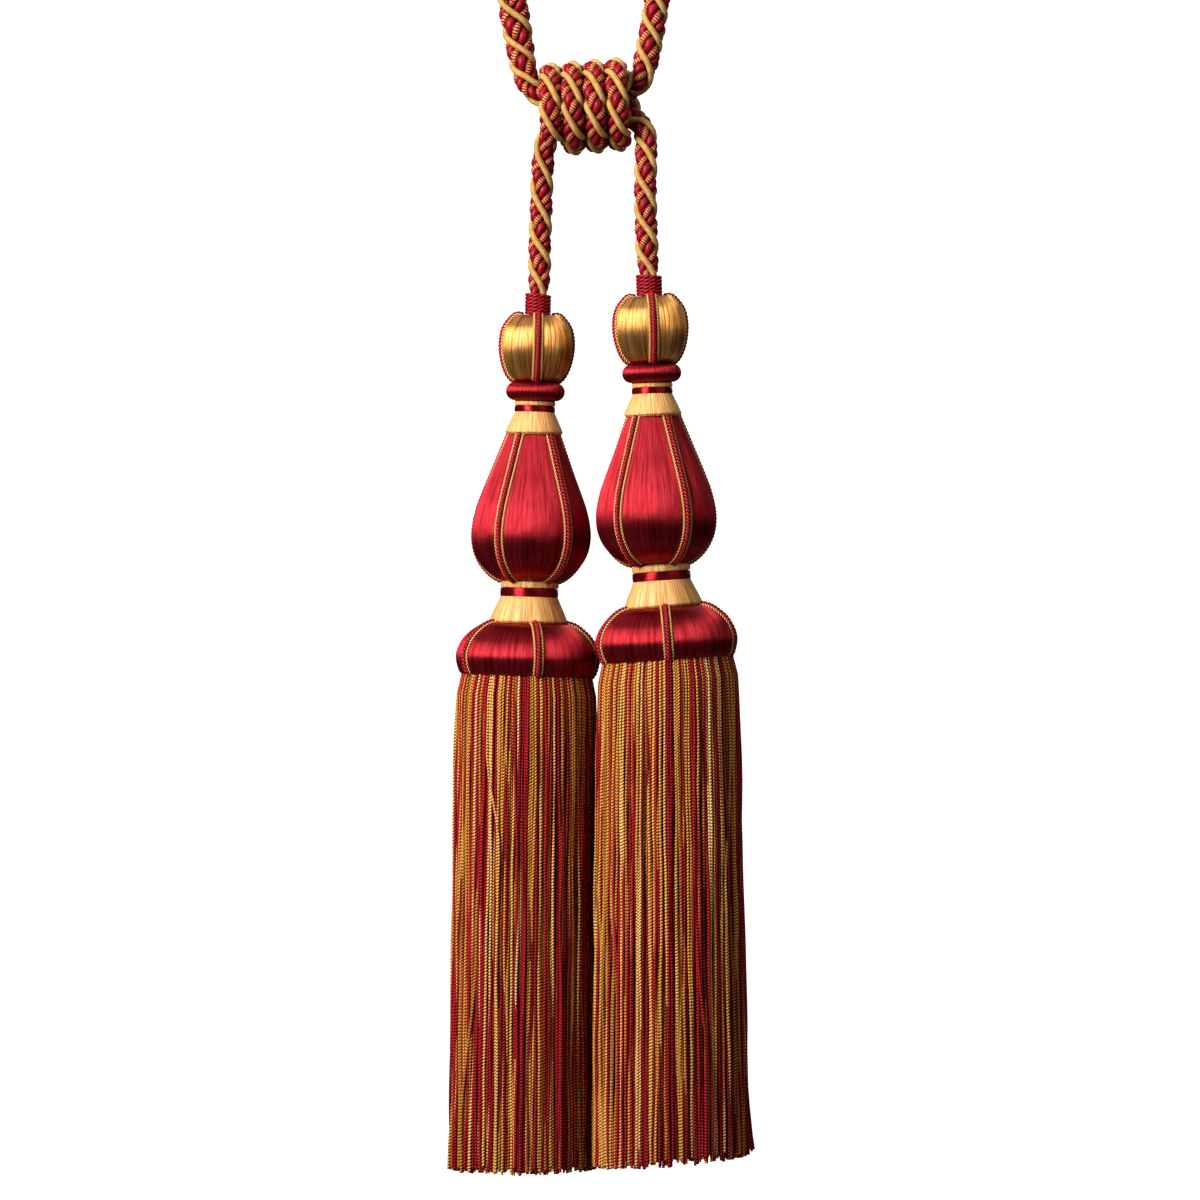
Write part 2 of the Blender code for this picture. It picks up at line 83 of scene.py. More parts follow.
class Wire:
    """A socket of a node tree, or the bare tree. Arithmetic on it adds Math nodes."""

    def __init__(self, tree, socket=None, source=None):
        self.tree = tree
        self.socket = socket
        self.source = source

    def node(self, kind, values=(), out=0, stops=(), **settings):
        """Adds a node of that type, with its settings and the stops of a ramp, then the values or
        links of its sockets. The ramp's first two stops are its ends."""
        made = self.tree.nodes.new(kind)
        for name, setting in settings.items():
            setattr(made, name, setting)
        for number, (place, colour) in enumerate(stops):
            ramp = made.color_ramp.elements
            stop = ramp[number] if number < 2 else ramp.new(place)
            stop.position = place
            stop.color = (*colour, 1.0)
        for name, value in dict(values).items():
            for single in value if isinstance(value, list) else [value]:
                if isinstance(single, Wire):
                    self.tree.links.new(single.socket, made.inputs[name])
                else:
                    made.inputs[name].default_value = single
        return Wire(self.tree, made.outputs[out] if made.outputs else None, made)

    def out(self, name):
        """Another output of the node that this socket belongs to."""
        return Wire(self.tree, self.source.outputs[name], self.source)

    def math(self, operation, *values):
        return self.node("ShaderNodeMath", enumerate(values), operation=operation)

    def vector(self, operation, *values):
        places = (0, 3) if operation == "SCALE" else (0, 1, 2)
        return self.node(
            "ShaderNodeVectorMath", zip(places, (self, *values)), operation=operation
        )

    def blend(self, first, second):
        """The colour that lies this far from the first to the second."""
        return self.node("ShaderNodeMix", {0: self, 6: first, 7: second}, 2, data_type="RGBA")

    def ranged(self, low, high, least=0.0, most=1.0):
        """From least to most as this goes from low to high, and no further."""
        return self.node("ShaderNodeMapRange", {0: self, 1: low, 2: high, 3: least, 4: most})

    def __add__(self, other):
        return self.math("ADD", self, other)

    def __radd__(self, other):
        return self.math("ADD", other, self)

    def __sub__(self, other):
        return self.math("SUBTRACT", self, other)

    def __rsub__(self, other):
        return self.math("SUBTRACT", other, self)

    def __mul__(self, other):
        return self.math("MULTIPLY", self, other)

    def __rmul__(self, other):
        return self.math("MULTIPLY", other, self)

    def __truediv__(self, other):
        return self.math("DIVIDE", self, other)


def new_material(name):
    """A material that holds a Principled surface alone, and the wire that its nodes start from."""
    material = bpy.data.materials.new(name)
    material.use_nodes = True
    surface = material.node_tree.nodes["Principled BSDF"]
    return material, surface, Wire(material.node_tree)


def new_piece(name, mesh):
    """An object of the scene that holds the mesh, the lamp or the lens."""
    piece = bpy.data.objects.new(name, mesh)
    bpy.context.scene.collection.objects.link(piece)
    return piece


world = bpy.data.worlds.new("surround")
bpy.context.scene.world = world
world.use_nodes = True
surround = Wire(world.node_tree)
seen = surround.node("ShaderNodeLightPath", out="Is Camera Ray")
world.node_tree.links.new(
    (seen * (SURROUND_SHOWN - SURROUND_LIGHT) + SURROUND_LIGHT).socket,
    world.node_tree.nodes["Background"].inputs["Strength"],
)
world.node_tree.nodes["Background"].inputs["Color"].default_value = SURROUND_COLOUR
bpy.context.scene.view_settings.view_transform = "Standard"
bpy.context.scene.view_settings.look = "Medium High Contrast"

floor_material, floor_surface, _ = new_material("studio_floor")
floor_surface.inputs["Base Color"].default_value = FLOOR_COLOUR
floor_surface.inputs["Roughness"].default_value = FLOOR_ROUGHNESS
floor_mesh = bpy.data.meshes.new("studio_floor")
floor_edge = [
    (
        FLOOR_RADIUS * math.cos(math.tau * side / FLOOR_SIDES),
        FLOOR_RADIUS * math.sin(math.tau * side / FLOOR_SIDES),
        cad_low.z - FLOOR_DROP,
    )
    for side in range(FLOOR_SIDES)
]
floor_mesh.from_pydata(floor_edge, [], [range(FLOOR_SIDES)])
floor_mesh.materials.append(floor_material)
new_piece("studio_floor", floor_mesh)

for soft in SOFT_LIGHTS:
    lamp = bpy.data.lights.new(soft.name, "AREA")
    lamp.shape = "RECTANGLE"
    lamp.size = soft.width
    lamp.size_y = soft.height
    lamp.spread = math.radians(soft.spread)
    lamp.energy = soft.power
    light = new_piece(soft.name, lamp)
    azimuth = math.radians(soft.azimuth)
    elevation = math.radians(soft.elevation)
    towards = Vector(
        (
            math.sin(azimuth) * math.cos(elevation),
            -math.cos(azimuth) * math.cos(elevation),
            math.sin(elevation),
        )
    )
    light.location = LIT_MIDDLE + towards * soft.distance
    light.rotation_euler = towards.to_track_quat("Z", "Y").to_euler()
    light.visible_camera = False

lens = bpy.data.cameras.new("camera")
lens.sensor_width = SENSOR_WIDTH
lens.lens = SENSOR_WIDTH * CAMERA_DISTANCE / VIEW_HEIGHT
lens.clip_end = VIEW_REACH
camera = new_piece("camera", lens)
camera.location = VIEW_MIDDLE - Vector((0.0, CAMERA_DISTANCE, 0.0))
camera.rotation_euler = (math.radians(90), 0.0, 0.0)
bpy.context.scene.camera = camera

# The rope: about 0.8 m of laid furnishing rope. Two thick strands, each a plain crimson ply and
# a crimson ply wound with gold, are laid up with two gold gimps in the grooves between them. It
# runs from the neck of the left tassel through the knot, round the loop and down to the right.
MM = 0.001
ROPE_STEP = 0.7 * MM
HALF_LAY = 15.5 * MM
NECK_RADIUS = 3.9
NECK_HEIGHTS = (-0.7, 4.525, 9.05)

# The two tassels, in millimetres and degrees. The place is the top of the ball, and the pieces
# under the pear sit a little aside and lean further.
Tassel = namedtuple(
    "Tassel", "name x y z lean lower_shift lower_drop lower_lean ball_turn pear_turn cap_turn"
)
LEFT = Tassel(
    name="left", x=-23.4, y=8.0, z=-360.6, lean=1.72,
    lower_shift=0.0, lower_drop=0.0, lower_lean=0.0,
    ball_turn=3.0, pear_turn=39.5, cap_turn=10.0,
)
RIGHT = Tassel(
    name="right", x=21.3, y=-8.0, z=-353.8, lean=-1.72,
    lower_shift=1.3, lower_drop=0.35, lower_lean=-2.4,
    ball_turn=5.4, pear_turn=31.5, cap_turn=1.0,
)
LOWER_PIVOT = Vector((0, 0, -107.05))

# The rope's route outside the knot and the necks, in millimetres.
RopePoint = namedtuple("RopePoint", "x y z radius")
LEFT_LEG = (
    RopePoint(-22.7, 8.0, -345.0, 4.70),
    RopePoint(-22.6, 8.0, -333.0, 4.75),
    RopePoint(-22.0, 7.7, -318.0, 4.75),
    RopePoint(-21.6, 7.0, -306.0, 4.75),
    RopePoint(-21.0, 5.6, -297.4, 4.70),
    RopePoint(-19.6, 3.6, -290.6, 4.60),
    RopePoint(-17.2, 1.9, -286.0, 4.45),
)
RIGHT_ARM = (
    RopePoint(9.4, 1.4, -272.0, 4.35),
    RopePoint(14.1, 1.6, -270.8, 4.55),
    RopePoint(17.8, 1.2, -266.8, 4.95),
    RopePoint(19.8, 0.8, -260.4, 5.30),
    RopePoint(21.0, 0.3, -254.6, 5.40),
    RopePoint(22.4, 0.0, -247.4, 5.40),
    RopePoint(24.4, 0.0, -235.0, 5.40),
)
LOOP = (
    RopePoint(29.6, 0.0, -203.0, 5.50),
    RopePoint(35.2, 0.0, -163.0, 5.50),
    RopePoint(40.4, 0.0, -123.0, 5.50),
    RopePoint(43.8, 0.0, -84.0, 5.50),
    RopePoint(43.6, 0.0, -54.0, 5.50),
    RopePoint(37.4, 0.0, -29.0, 5.50),
    RopePoint(21.8, 0.0, -11.6, 5.50),
    RopePoint(-1.0, 0.0, -5.5, 5.50),
    RopePoint(-24.0, 0.0, -12.0, 5.60),
    RopePoint(-40.2, 0.0, -30.0, 5.70),
    RopePoint(-46.6, 0.0, -56.0, 5.80),
    RopePoint(-47.4, 0.0, -86.0, 5.90),
    RopePoint(-45.0, 0.0, -124.0, 6.00),
    RopePoint(-41.2, 0.0, -163.0, 6.10),
    RopePoint(-37.2, 0.0, -203.0, 6.20),
)
LEFT_ARM = (
    RopePoint(-33.4, 0.0, -235.0, 6.25),
    RopePoint(-31.7, 0.0, -246.0, 6.15),
    RopePoint(-30.2, -0.2, -255.0, 5.85),
    RopePoint(-28.6, -0.6, -263.6, 5.35),
    RopePoint(-26.2, -1.2, -269.8, 4.95),
    RopePoint(-22.2, -1.5, -273.4, 4.50),
    RopePoint(-18.0, -1.2, -274.3, 4.35),
)
RIGHT_LEG = (
    RopePoint(9.6, -1.4, -281.4, 4.35),
    RopePoint(14.4, -2.2, -282.3, 4.45),
    RopePoint(18.2, -3.6, -285.6, 4.60),
    RopePoint(19.9, -5.2, -291.0, 4.70),
    RopePoint(19.9, -7.0, -299.6, 4.75),
    RopePoint(19.7, -8.0, -312.0, 4.75),
    RopePoint(20.0, -8.0, -326.0, 4.75),
    RopePoint(20.5, -8.0, -338.0, 4.70),
)

# Where a gimp passes over the front of the rope, in millimetres. The lay keeps to these places
# where they show, and to half turns of about HALF_LAY elsewhere.
GimpFront = namedtuple("GimpFront", "x z")
GIMP_FRONTS = (
    GimpFront(-22.8, -347.4),
    GimpFront(-22.5, -333.6),
    GimpFront(-22.0, -317.8),
    GimpFront(-21.2, -300.9),
    GimpFront(20.2, -259.2),
    GimpFront(22.5, -246.9),
    GimpFront(24.5, -234.6),
    GimpFront(-32.6, -241.3),
    GimpFront(-30.2, -254.9),
    GimpFront(-27.6, -266.6),
    GimpFront(17.0, -283.6),
    GimpFront(19.9, -296.1),
    GimpFront(19.7, -310.9),
    GimpFront(20.0, -326.7),
    GimpFront(20.6, -341.0),
)

# The knot in its own frame: X along its axis, Z up, -Y to the front.
KNOT_CENTRE = Vector((-4.8, 0.0, -277.9))
KNOT_TILT = 4.5
CROSSING_RADIUS = 4.75
CROSSING_MIDDLE = 0.8
CROSSING_HALF_LENGTH = 10.0
CROSSING_POINTS = 5
CROSSING_ROPE_RADIUS = 4.35

knot_matrix = Matrix.Translation(KNOT_CENTRE) @ Matrix.Rotation(math.radians(-KNOT_TILT), 4, "Y")


def upper_matrix(tassel):
    """The frame of a tassel, with the top of its ball as the origin."""
    lean = Matrix.Rotation(math.radians(tassel.lean), 4, "Y")
    return Matrix.Translation((tassel.x, tassel.y, tassel.z)) @ lean


def lower_matrix(tassel):
    """The frame of what hangs under the pear, with heights counted as in the tassel's own."""
    shift = Vector((tassel.lower_shift, 0, -tassel.lower_drop))
    lean = Matrix.Rotation(math.radians(tassel.lower_lean), 4, "Y")
    pivot = Matrix.Translation(LOWER_PIVOT + shift)
    return upper_matrix(tassel) @ pivot @ lean @ Matrix.Translation(-LOWER_PIVOT)


def neck(tassel):
    """The rope's last rows, from its end inside the whipping up to the whipping's top."""
    matrix = upper_matrix(tassel)
    return [(*(matrix @ Vector((0, 0, height))), NECK_RADIUS) for height in NECK_HEIGHTS]


def crossing(side):
    """One rope on its way through the knot: side is 1 if it rises in front, and -1 if it falls."""
    rows = []
    for share in np.linspace(0, 1, CROSSING_POINTS):
        angle = math.radians(-90 + 180 * share)
        reach = side * CROSSING_RADIUS
        along = CROSSING_MIDDLE + CROSSING_HALF_LENGTH * (2 * share - 1)
        place = knot_matrix @ Vector((along, -reach * math.cos(angle), reach * math.sin(angle)))
        rows.append((*place, CROSSING_ROPE_RADIUS))
    return rows


# How many points are worked out on each stretch of a smooth line, before it is cut into steps.
SMOOTH_POINTS = 40


def between(first, second, low, high, at):
    """What lies between the first, which is reached at low, and the second, reached at high."""
    return first + (second - first) * (at - low) / (high - low)


def smooth_line(points, step):
    """Rows a step apart along a smooth curve through the points, whose first columns are a place."""
    points = np.array(points, float)
    points = np.vstack([2 * points[0] - points[1], points, 2 * points[-1] - points[-2]])
    width = min(3, points.shape[1])
    knots = np.cumsum([0, *np.sqrt(np.linalg.norm(np.diff(points[:, :width], axis=0), axis=1))])
    fine = []
    for number in range(1, len(points) - 2):
        before, start, end, after = points[number - 1 : number + 3]
        at_before, at_start, at_end, at_after = knots[number - 1 : number + 3]
        for at in np.linspace(at_start, at_end, SMOOTH_POINTS, endpoint=False):
            early = between(before, start, at_before, at_start, at)
            middle = between(start, end, at_start, at_end, at)
            late = between(end, after, at_end, at_after, at)
            leaving = between(early, middle, at_before, at_end, at)
            arriving = between(middle, late, at_start, at_after, at)
            fine.append(between(leaving, arriving, at_start, at_end, at))
    fine = np.array([*fine, points[-2]])
    along = np.cumsum([0, *np.linalg.norm(np.diff(fine[:, :width], axis=0), axis=1)])
    wanted = np.linspace(0, along[-1], 2 + int(along[-1] / step))
    return np.stack([np.interp(wanted, along, column) for column in fine.T], axis=1)


def distances(places):
    """How far each place lies along the line through them."""
    return np.cumsum([0, *np.linalg.norm(np.diff(places, axis=0), axis=1)])


def lay_by_marks(places, marks, half_lay):
    """The turns of the lay at each place. There is a half turn from mark to mark, and several
    where the marks are far apart."""
    along = distances(places)
    at = [
        along[np.argmin(np.hypot(places[:, 0] - mark.x, places[:, 2] - mark.z))] for mark in marks
    ]
    turns = np.cumsum([0, *(0.5 * max(1, round(gap / half_lay)) for gap in np.diff(at))])
    first = turns[0] - 0.5 * at[0] / half_lay
    last = turns[-1] + 0.5 * (along[-1] - at[-1]) / half_lay
    return np.interp(along, [0, *at, along[-1]], [first, *turns, last])


def cord_lines(name, lines):
    """A mesh of bare edges, one chain for each line: its places, radii, turns of lay, and sides."""
    places = np.concatenate([line[0] for line in lines]) * MM
    starts = np.cumsum([0, *(len(line[0]) for line in lines)])
    edges = [
        (number, number + 1)
        for start, end in zip(starts, starts[1:])
        for number in range(start, end - 1)
    ]
    mesh = bpy.data.meshes.new(name)
    mesh.from_pydata(places.tolist(), edges, [])
    columns = [np.concatenate([line[column] for line in lines]) for column in (1, 2, 3)]
    for label, kind, field, values in (
        ("thick", "FLOAT", "value", columns[0] * MM),
        ("lay", "FLOAT", "value", columns[1]),
        ("side", "FLOAT_VECTOR", "vector", columns[2]),
    ):
        mesh.attributes.new(label, kind, "POINT").data.foreach_set(field, values.ravel())
    return new_piece(name, mesh)


# One strand of a laid cord. Its middle lies reach times the cord's radius, less inset, from the
# cord's own, and it is share radii and extra thick. Two plies turn about each other once in every
# pitch, pressed together as far as the groove between them leaves. One ply makes it round. Its
# skin has a ring of that many sides at every step.
Strand = namedtuple(
    "Strand",
    "material step sides phase reach inset share extra plies groove pitch",
    defaults=(0, 0, 0, 0, 0, 1, 0, 1),
)


def kept_on(curve, kind, label, value):
    """The curve with the value kept on its points, and the value as it is kept."""
    capture = curve.tree.nodes.new("GeometryNodeCaptureAttribute")
    capture.capture_items.new(kind, label)
    curve.tree.links.new(curve.socket, capture.inputs["Geometry"])
    curve.tree.links.new(value.socket, capture.inputs[label])
    kept = Wire(curve.tree, capture.outputs["Geometry"], capture)
    return kept, kept.out(label)


def turned(first, second, angle):
    """The direction that lies at that angle from the first, on the way to the second."""
    return first.vector("SCALE", angle.math("COSINE", angle)).vector(
        "ADD", second.vector("SCALE", angle.math("SINE", angle))
    )


def moved_aside(line, side, angle, reach):
    """The curve moved aside by reach, in the direction that lies at that angle from side."""
    tangent = line.node("GeometryNodeInputTangent")
    out = turned(side, tangent.vector("CROSS_PRODUCT", side), angle)
    line, out = kept_on(line, "VECTOR", "Out", out)
    moved = line.node(
        "GeometryNodeSetPosition", {"Geometry": line, "Offset": out.vector("SCALE", reach)}
    )
    return moved, out


# The outline of two plies: the power that fills out each of them, and full is nearer to 0.
PLY_FULLNESS = 0.65
# A face's corner that lies this share of a turn before the face's middle has gone past the seam.
SEAM_SHARE = 0.25


def tube(line, out, radius, strand):
    """A closed tube along the curve, with a UV map of its turn and its length in millimetres."""
    circle = {"Resolution": strand.sides, "Radius": 1.0}
    ring = line.node("GeometryNodeCurvePrimitiveCircle", circle)
    factor = line.node("GeometryNodeSplineParameter", out="Factor")
    ring, around = kept_on(ring, "FLOAT", "Around", factor)
    length = line.node("GeometryNodeSplineParameter", out="Length")
    path, along = kept_on(line, "FLOAT", "Along", length)
    along = along / MM
    if strand.plies > 1:
        lobe = line.math("ABSOLUTE", line.math("SINE", around * (math.pi * strand.plies)))
        lobe = line.math("POWER", lobe, PLY_FULLNESS)
        size = (lobe - 1.0) * strand.groove + 1.0
        spot = line.node("GeometryNodeInputPosition").vector("SCALE", size)
        ring = ring.node("GeometryNodeSetPosition", {"Geometry": ring, "Position": spot})
        tangent = line.node("GeometryNodeInputTangent")
        across = tangent.vector("CROSS_PRODUCT", out).vector("NORMALIZE")
        level = across.vector("CROSS_PRODUCT", tangent)
        normal = turned(level, across, along * (math.tau / strand.pitch))
        path = path.node(
            "GeometryNodeSetCurveNormal", {"Curve": path, "Normal": normal}, mode="FREE"
        )
    skin = line.node(
        "GeometryNodeCurveToMesh",
        {"Curve": path, "Profile Curve": ring, "Scale": radius, "Fill Caps": True},
    )
    middle = line.node(
        "GeometryNodeFieldOnDomain", {0: around}, data_type="FLOAT", domain="FACE"
    )
    closed = around + line.math("GREATER_THAN", middle - around, SEAM_SHARE)
    place = line.node("ShaderNodeCombineXYZ", {0: closed, 1: along})
    mapped = line.node(
        "GeometryNodeStoreNamedAttribute",
        {"Geometry": skin, "Name": "UVMap", "Value": place},
        data_type="FLOAT2",
        domain="CORNER",
    )
    return line.node(
        "GeometryNodeSetMaterial", {"Geometry": mapped, "Material": strand.material}
    )


def cord_tree(name, strands):
    """Geometry nodes that lay the strands along bare edges. First Turn turns them all round."""
    tree = bpy.data.node_groups.new(name, "GeometryNodeTree")
    tree.interface.new_socket("Geometry", in_out="INPUT", socket_type="NodeSocketGeometry")
    tree.interface.new_socket("First Turn", in_out="INPUT", socket_type="NodeSocketFloat")
    tree.interface.new_socket("Geometry", in_out="OUTPUT", socket_type="NodeSocketGeometry")
    start = Wire(tree).node("NodeGroupInput")
    curve = start.node("GeometryNodeMeshToCurve", {"Mesh": start})
    thick, lay = (
        start.node("GeometryNodeInputNamedAttribute", {"Name": label}, data_type="FLOAT")
        for label in ("thick", "lay")
    )
    side = start.node(
        "GeometryNodeInputNamedAttribute", {"Name": "side"}, data_type="FLOAT_VECTOR"
    )
    made = []
    for strand in strands:
        line = curve.node(
            "GeometryNodeResampleCurve",
            {"Curve": curve, "Length": strand.step * MM},
            mode="LENGTH",
        )
        angle = (lay + start.out("First Turn")) * -math.tau + math.radians(strand.phase)
        line, out = moved_aside(line, side, angle, thick * strand.reach - strand.inset * MM)
        radius = thick * strand.share + strand.extra * MM
        made.append(tube(line, out, radius, strand))
    joined = start.node("GeometryNodeJoinGeometry", {"Geometry": made})
    real = start.node("GeometryNodeRealizeInstances", {"Geometry": joined})
    start.node("NodeGroupOutput", {"Geometry": real})
    return tree


def grown(piece, tree, sizes):
    """Runs the tree on the piece, and leaves it the plain mesh that this makes."""
    modifier = piece.modifiers.new(tree.name, "NODES")
    modifier.node_group = tree
    for item in tree.interface.items_tree:
        if item.name in sizes:
            modifier[item.identifier] = sizes[item.name]
    graph = bpy.context.evaluated_depsgraph_get()
    made = bpy.data.meshes.new_from_object(piece.evaluated_get(graph))
    piece.modifiers.remove(modifier)
    made.name = piece.name
    piece.data = made
    return piece


def stood_for(piece, slot, *nodes):
    """Puts the piece in place of the nodes that it covers, on the one body. The slot, its finish, is
    not used.
    """
    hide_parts(*nodes)
    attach(piece, "root")


CRIMSON_DEEP = (0.11, 0.001, 0.005, 1.0)
CRIMSON_BRIGHT = (0.43, 0.009, 0.020, 1.0)
GOLD_DEEP = (0.24, 0.11, 0.02, 1.0)
GOLD_BRIGHT = (0.74, 0.43, 0.13, 1.0)
THREAD_GLOSS = 0.25


def skin_place(start):
    """The place on a thread's skin, then its parts: the turn round it and the way along it."""
    place = start.node("ShaderNodeUVMap", uv_map="UVMap")
    parts = start.node("ShaderNodeSeparateXYZ", {0: place})
    return place, parts.out("X"), parts.out("Y")


def noise(place, detail, scale=1.0):
    """Soft noise, as fine as the place is stretched."""
    return place.node("ShaderNodeTexNoise", {"Vector": place, "Scale": scale, "Detail": detail})


def dye(surface, colour, roughness, gloss=None, height=None, depth=0.0, strength=1.0):
    """Gives the surface its colour and gloss, and the relief of its threads."""
    colour.tree.links.new(colour.socket, surface.inputs["Base Color"])
    surface.inputs["Roughness"].default_value = roughness
    if gloss is not None:
        surface.inputs["Specular IOR Level"].default_value = gloss
    if height is not None:
        relief = {"Height": height, "Distance": depth, "Strength": strength}
        bump = colour.node("ShaderNodeBump", relief)
        colour.tree.links.new(bump.socket, surface.inputs["Normal"])


# Thick strand: a plain crimson ply, and a crimson ply wound with fine gold thread, laid together.
# The gold lines cross their ply at right angles, and are worn where its floss is dull.
STRAND_PITCH = 5.7
STRAND_RADIUS = 2.6
STRAND_STREAKS = (26.0, 0.25, 1.0)
STRIPE_PITCH = 1.25
STRIPE_WANDER = 0.2
GROOVE_DARK = 0.12
GROOVE_LIGHT = 0.62


def groove_shade(turn, dark=GROOVE_DARK, light=GROOVE_LIGHT):
    """Painted shade between two plies: from 0 in the grooves between them to 1 on their backs."""
    return turn.math("ABSOLUTE", turn.math("SINE", turn * math.tau)).ranged(dark, light)


ply_slant = math.atan2(math.tau * STRAND_RADIUS, STRAND_PITCH)
stripe_step = STRIPE_PITCH * math.cos(ply_slant)
stripe_shift = STRAND_PITCH * math.sin(ply_slant) ** 2
rope_plies, surface, start = new_material("rope_plies")
place, turn, along = skin_place(start)
streak = noise(place.vector("MULTIPLY", STRAND_STREAKS), detail=2.0)
line = (along + turn * stripe_shift) / stripe_step
wave = start.math("SINE", (line + streak * STRIPE_WANDER) * math.tau)
wound = start.math("GREATER_THAN", turn, 0.5)
# The gold thins out towards the grooves: partly the wound thread's own lay, partly painted shade.
back = groove_shade(turn, dark=0.3, light=0.8)
worn = streak.ranged(low=0.3, high=0.55, least=0.35)
gold = wave.ranged(low=0.1, high=0.7) * wound * back * worn
colour = gold.blend(streak.blend(CRIMSON_DEEP, CRIMSON_BRIGHT), GOLD_BRIGHT)
# Painted shade: the grooves between the plies darken to deep crimson.
colour = groove_shade(turn).blend(CRIMSON_DEEP, colour)
height = streak * 0.5 + gold * 0.5
dye(surface, colour, 0.40, THREAD_GLOSS, height, depth=0.00015, strength=0.7)

# Gimp: a core wound close with fine gold thread.
GIMP_RADIUS = 1.28
GIMP_GLOSS = 0.55
WINDING_PITCH = 0.42
WINDING_WANDER = 0.6
gold_gimp, surface, start = new_material("gold_gimp")
place, turn, along = skin_place(start)
drift = noise(place, detail=1.0, scale=0.4)
wave = start.math("SINE", (along / WINDING_PITCH + turn + drift * WINDING_WANDER) * math.tau)
# Painted shade: the colour darkens between the turns of the winding, and it also drifts at random.
colour = (wave + drift * 2.0).ranged(low=-0.6, high=2.2).blend(GOLD_DEEP, GOLD_BRIGHT)
dye(surface, colour, 0.36, GIMP_GLOSS, wave, depth=0.00010, strength=0.7)

gimp = Strand(
    gold_gimp, step=1.4, sides=12, reach=1.0, inset=GIMP_RADIUS, extra=GIMP_RADIUS
)
thick_strand = Strand(
    rope_plies, step=0.6, sides=16, reach=0.47, share=0.54, plies=2, groove=0.32,
    pitch=STRAND_PITCH,
)
rope_strands = [gimp._replace(phase=phase) for phase in (0, 180)]
rope_strands += [thick_strand._replace(phase=phase) for phase in (90, 270)]

route = [
    *neck(LEFT),
    *LEFT_LEG,
    *crossing(1),
    *RIGHT_ARM,
    *LOOP,
    *LEFT_ARM,
    *crossing(-1),
    *RIGHT_LEG,
    *reversed(neck(RIGHT)),
]
rows = smooth_line(route, ROPE_STEP / MM)
places = rows[:, :3]
tangents = np.gradient(places, axis=0)
tangents /= np.linalg.norm(tangents, axis=1)[:, None]
front = np.array((0.0, -1.0, 0.0))
sides = front - tangents * (tangents @ front)[:, None]
sides /= np.linalg.norm(sides, axis=1)[:, None]
lay = lay_by_marks(places, GIMP_FRONTS, HALF_LAY / MM)
rope_tree = cord_tree("laid_rope", rope_strands)
rope = grown(
    cord_lines("rope_strands", [(places, rows[:, 3], lay, sides)]),
    rope_tree,
    {"First Turn": 0.0},
)
stood_for(rope, "rope_lay", "rope")

# The knot: a second length of the same rope, wound four times round the two ropes that cross
# inside it. It draws them together, and its own two ends are tucked in at the back.
# Angles go round the knot's axis, from 0 at the front over 90 at the top.
KNOT_TURN_RADIUS = 14.4
KNOT_ROPE_RADIUS = 4.7
KNOT_START = -56
KNOT_END_PAST_TOP = 100
KNOT_STEP = 3
KNOT_HALF_LAYS = 6
KNOT_GIMP_ANGLE = 31
KNOT_GIMP_EASE = 0.018
KnotTurn = namedtuple("KnotTurn", "front top")
KNOT_TURNS = (
    KnotTurn(front=-13.6, top=-12.2),
    KnotTurn(front=-4.7, top=-3.6),
    KnotTurn(front=4.3, top=5.0),
    KnotTurn(front=13.4, top=13.6),
)

turn_angles = []
turn_places = []
for number, turn in enumerate(KNOT_TURNS):
    turn_angles += [360 * number - 90, 360 * number, 360 * number + 90]
    turn_places += [turn.front, turn.front, turn.top]
turn_angles.append(turn_angles[-1] + 180)
turn_places.append(turn_places[-1] + KNOT_TURNS[-1].front - KNOT_TURNS[-2].front)
knot_last = 90 + 360 * (len(KNOT_TURNS) - 1) + KNOT_END_PAST_TOP
knot_angles = np.arange(KNOT_START, knot_last + KNOT_STEP, KNOT_STEP)
knot_places = []
knot_sides = []
for angle in knot_angles:
    out = Vector((0, -math.cos(math.radians(angle)), math.sin(math.radians(angle))))
    aside = Vector((np.interp(angle, turn_angles, turn_places), 0, 0))
    knot_places.append(knot_matrix @ (aside + out * KNOT_TURN_RADIUS))
    knot_sides.append(knot_matrix.to_3x3() @ out)
knot_places = np.array(knot_places)
knot_radii = np.full(len(knot_angles), KNOT_ROPE_RADIUS)
knot_first = -KNOT_GIMP_ANGLE / 360 * KNOT_HALF_LAYS / 2
knot_lay = knot_angles / 360 * KNOT_HALF_LAYS / 2
knot_lay -= KNOT_GIMP_EASE * np.sin(2 * math.tau * (knot_lay + knot_first))
knot = grown(
    cord_lines("knot_strands", [(knot_places, knot_radii, knot_lay, np.array(knot_sides))]),
    rope_tree,
    {"First Turn": knot_first},
)
stood_for(knot, "rope_lay", "knot_wrap")

# The neck whippings: close turns of two-ply crimson cord, wound by hand round each end of the
# rope. They bind the rope where it goes into the head of its tassel.
WHIPPING_BOTTOM = -0.95
WHIPPING_TOP = 9.05
WHIPPING_RADIUS = 5.35
WHIPPING_CORD = 0.76
WHIPPING_TURNS = 6
WHIPPING_STEP = 5
WHIPPING_PITCH = -4.8

CORD_SHADOW = (0.03, 0.0, 0.002, 1.0)
CORD_DEEP = (0.18, 0.002, 0.008, 1.0)
CORD_BRIGHT = (0.58, 0.020, 0.034, 1.0)
CORD_STREAKS = (16.0, 0.5, 1.0)
crimson_cord, surface, start = new_material("crimson_cord")
place, turn, along = skin_place(start)
streak = noise(place.vector("MULTIPLY", CORD_STREAKS), detail=2.0)
colour = groove_shade(turn, dark=0.2, light=0.8).blend(
    CORD_SHADOW, streak.blend(CORD_DEEP, CORD_BRIGHT)
)
dye(surface, colour, 0.42, THREAD_GLOSS, streak, depth=0.0001, strength=0.6)

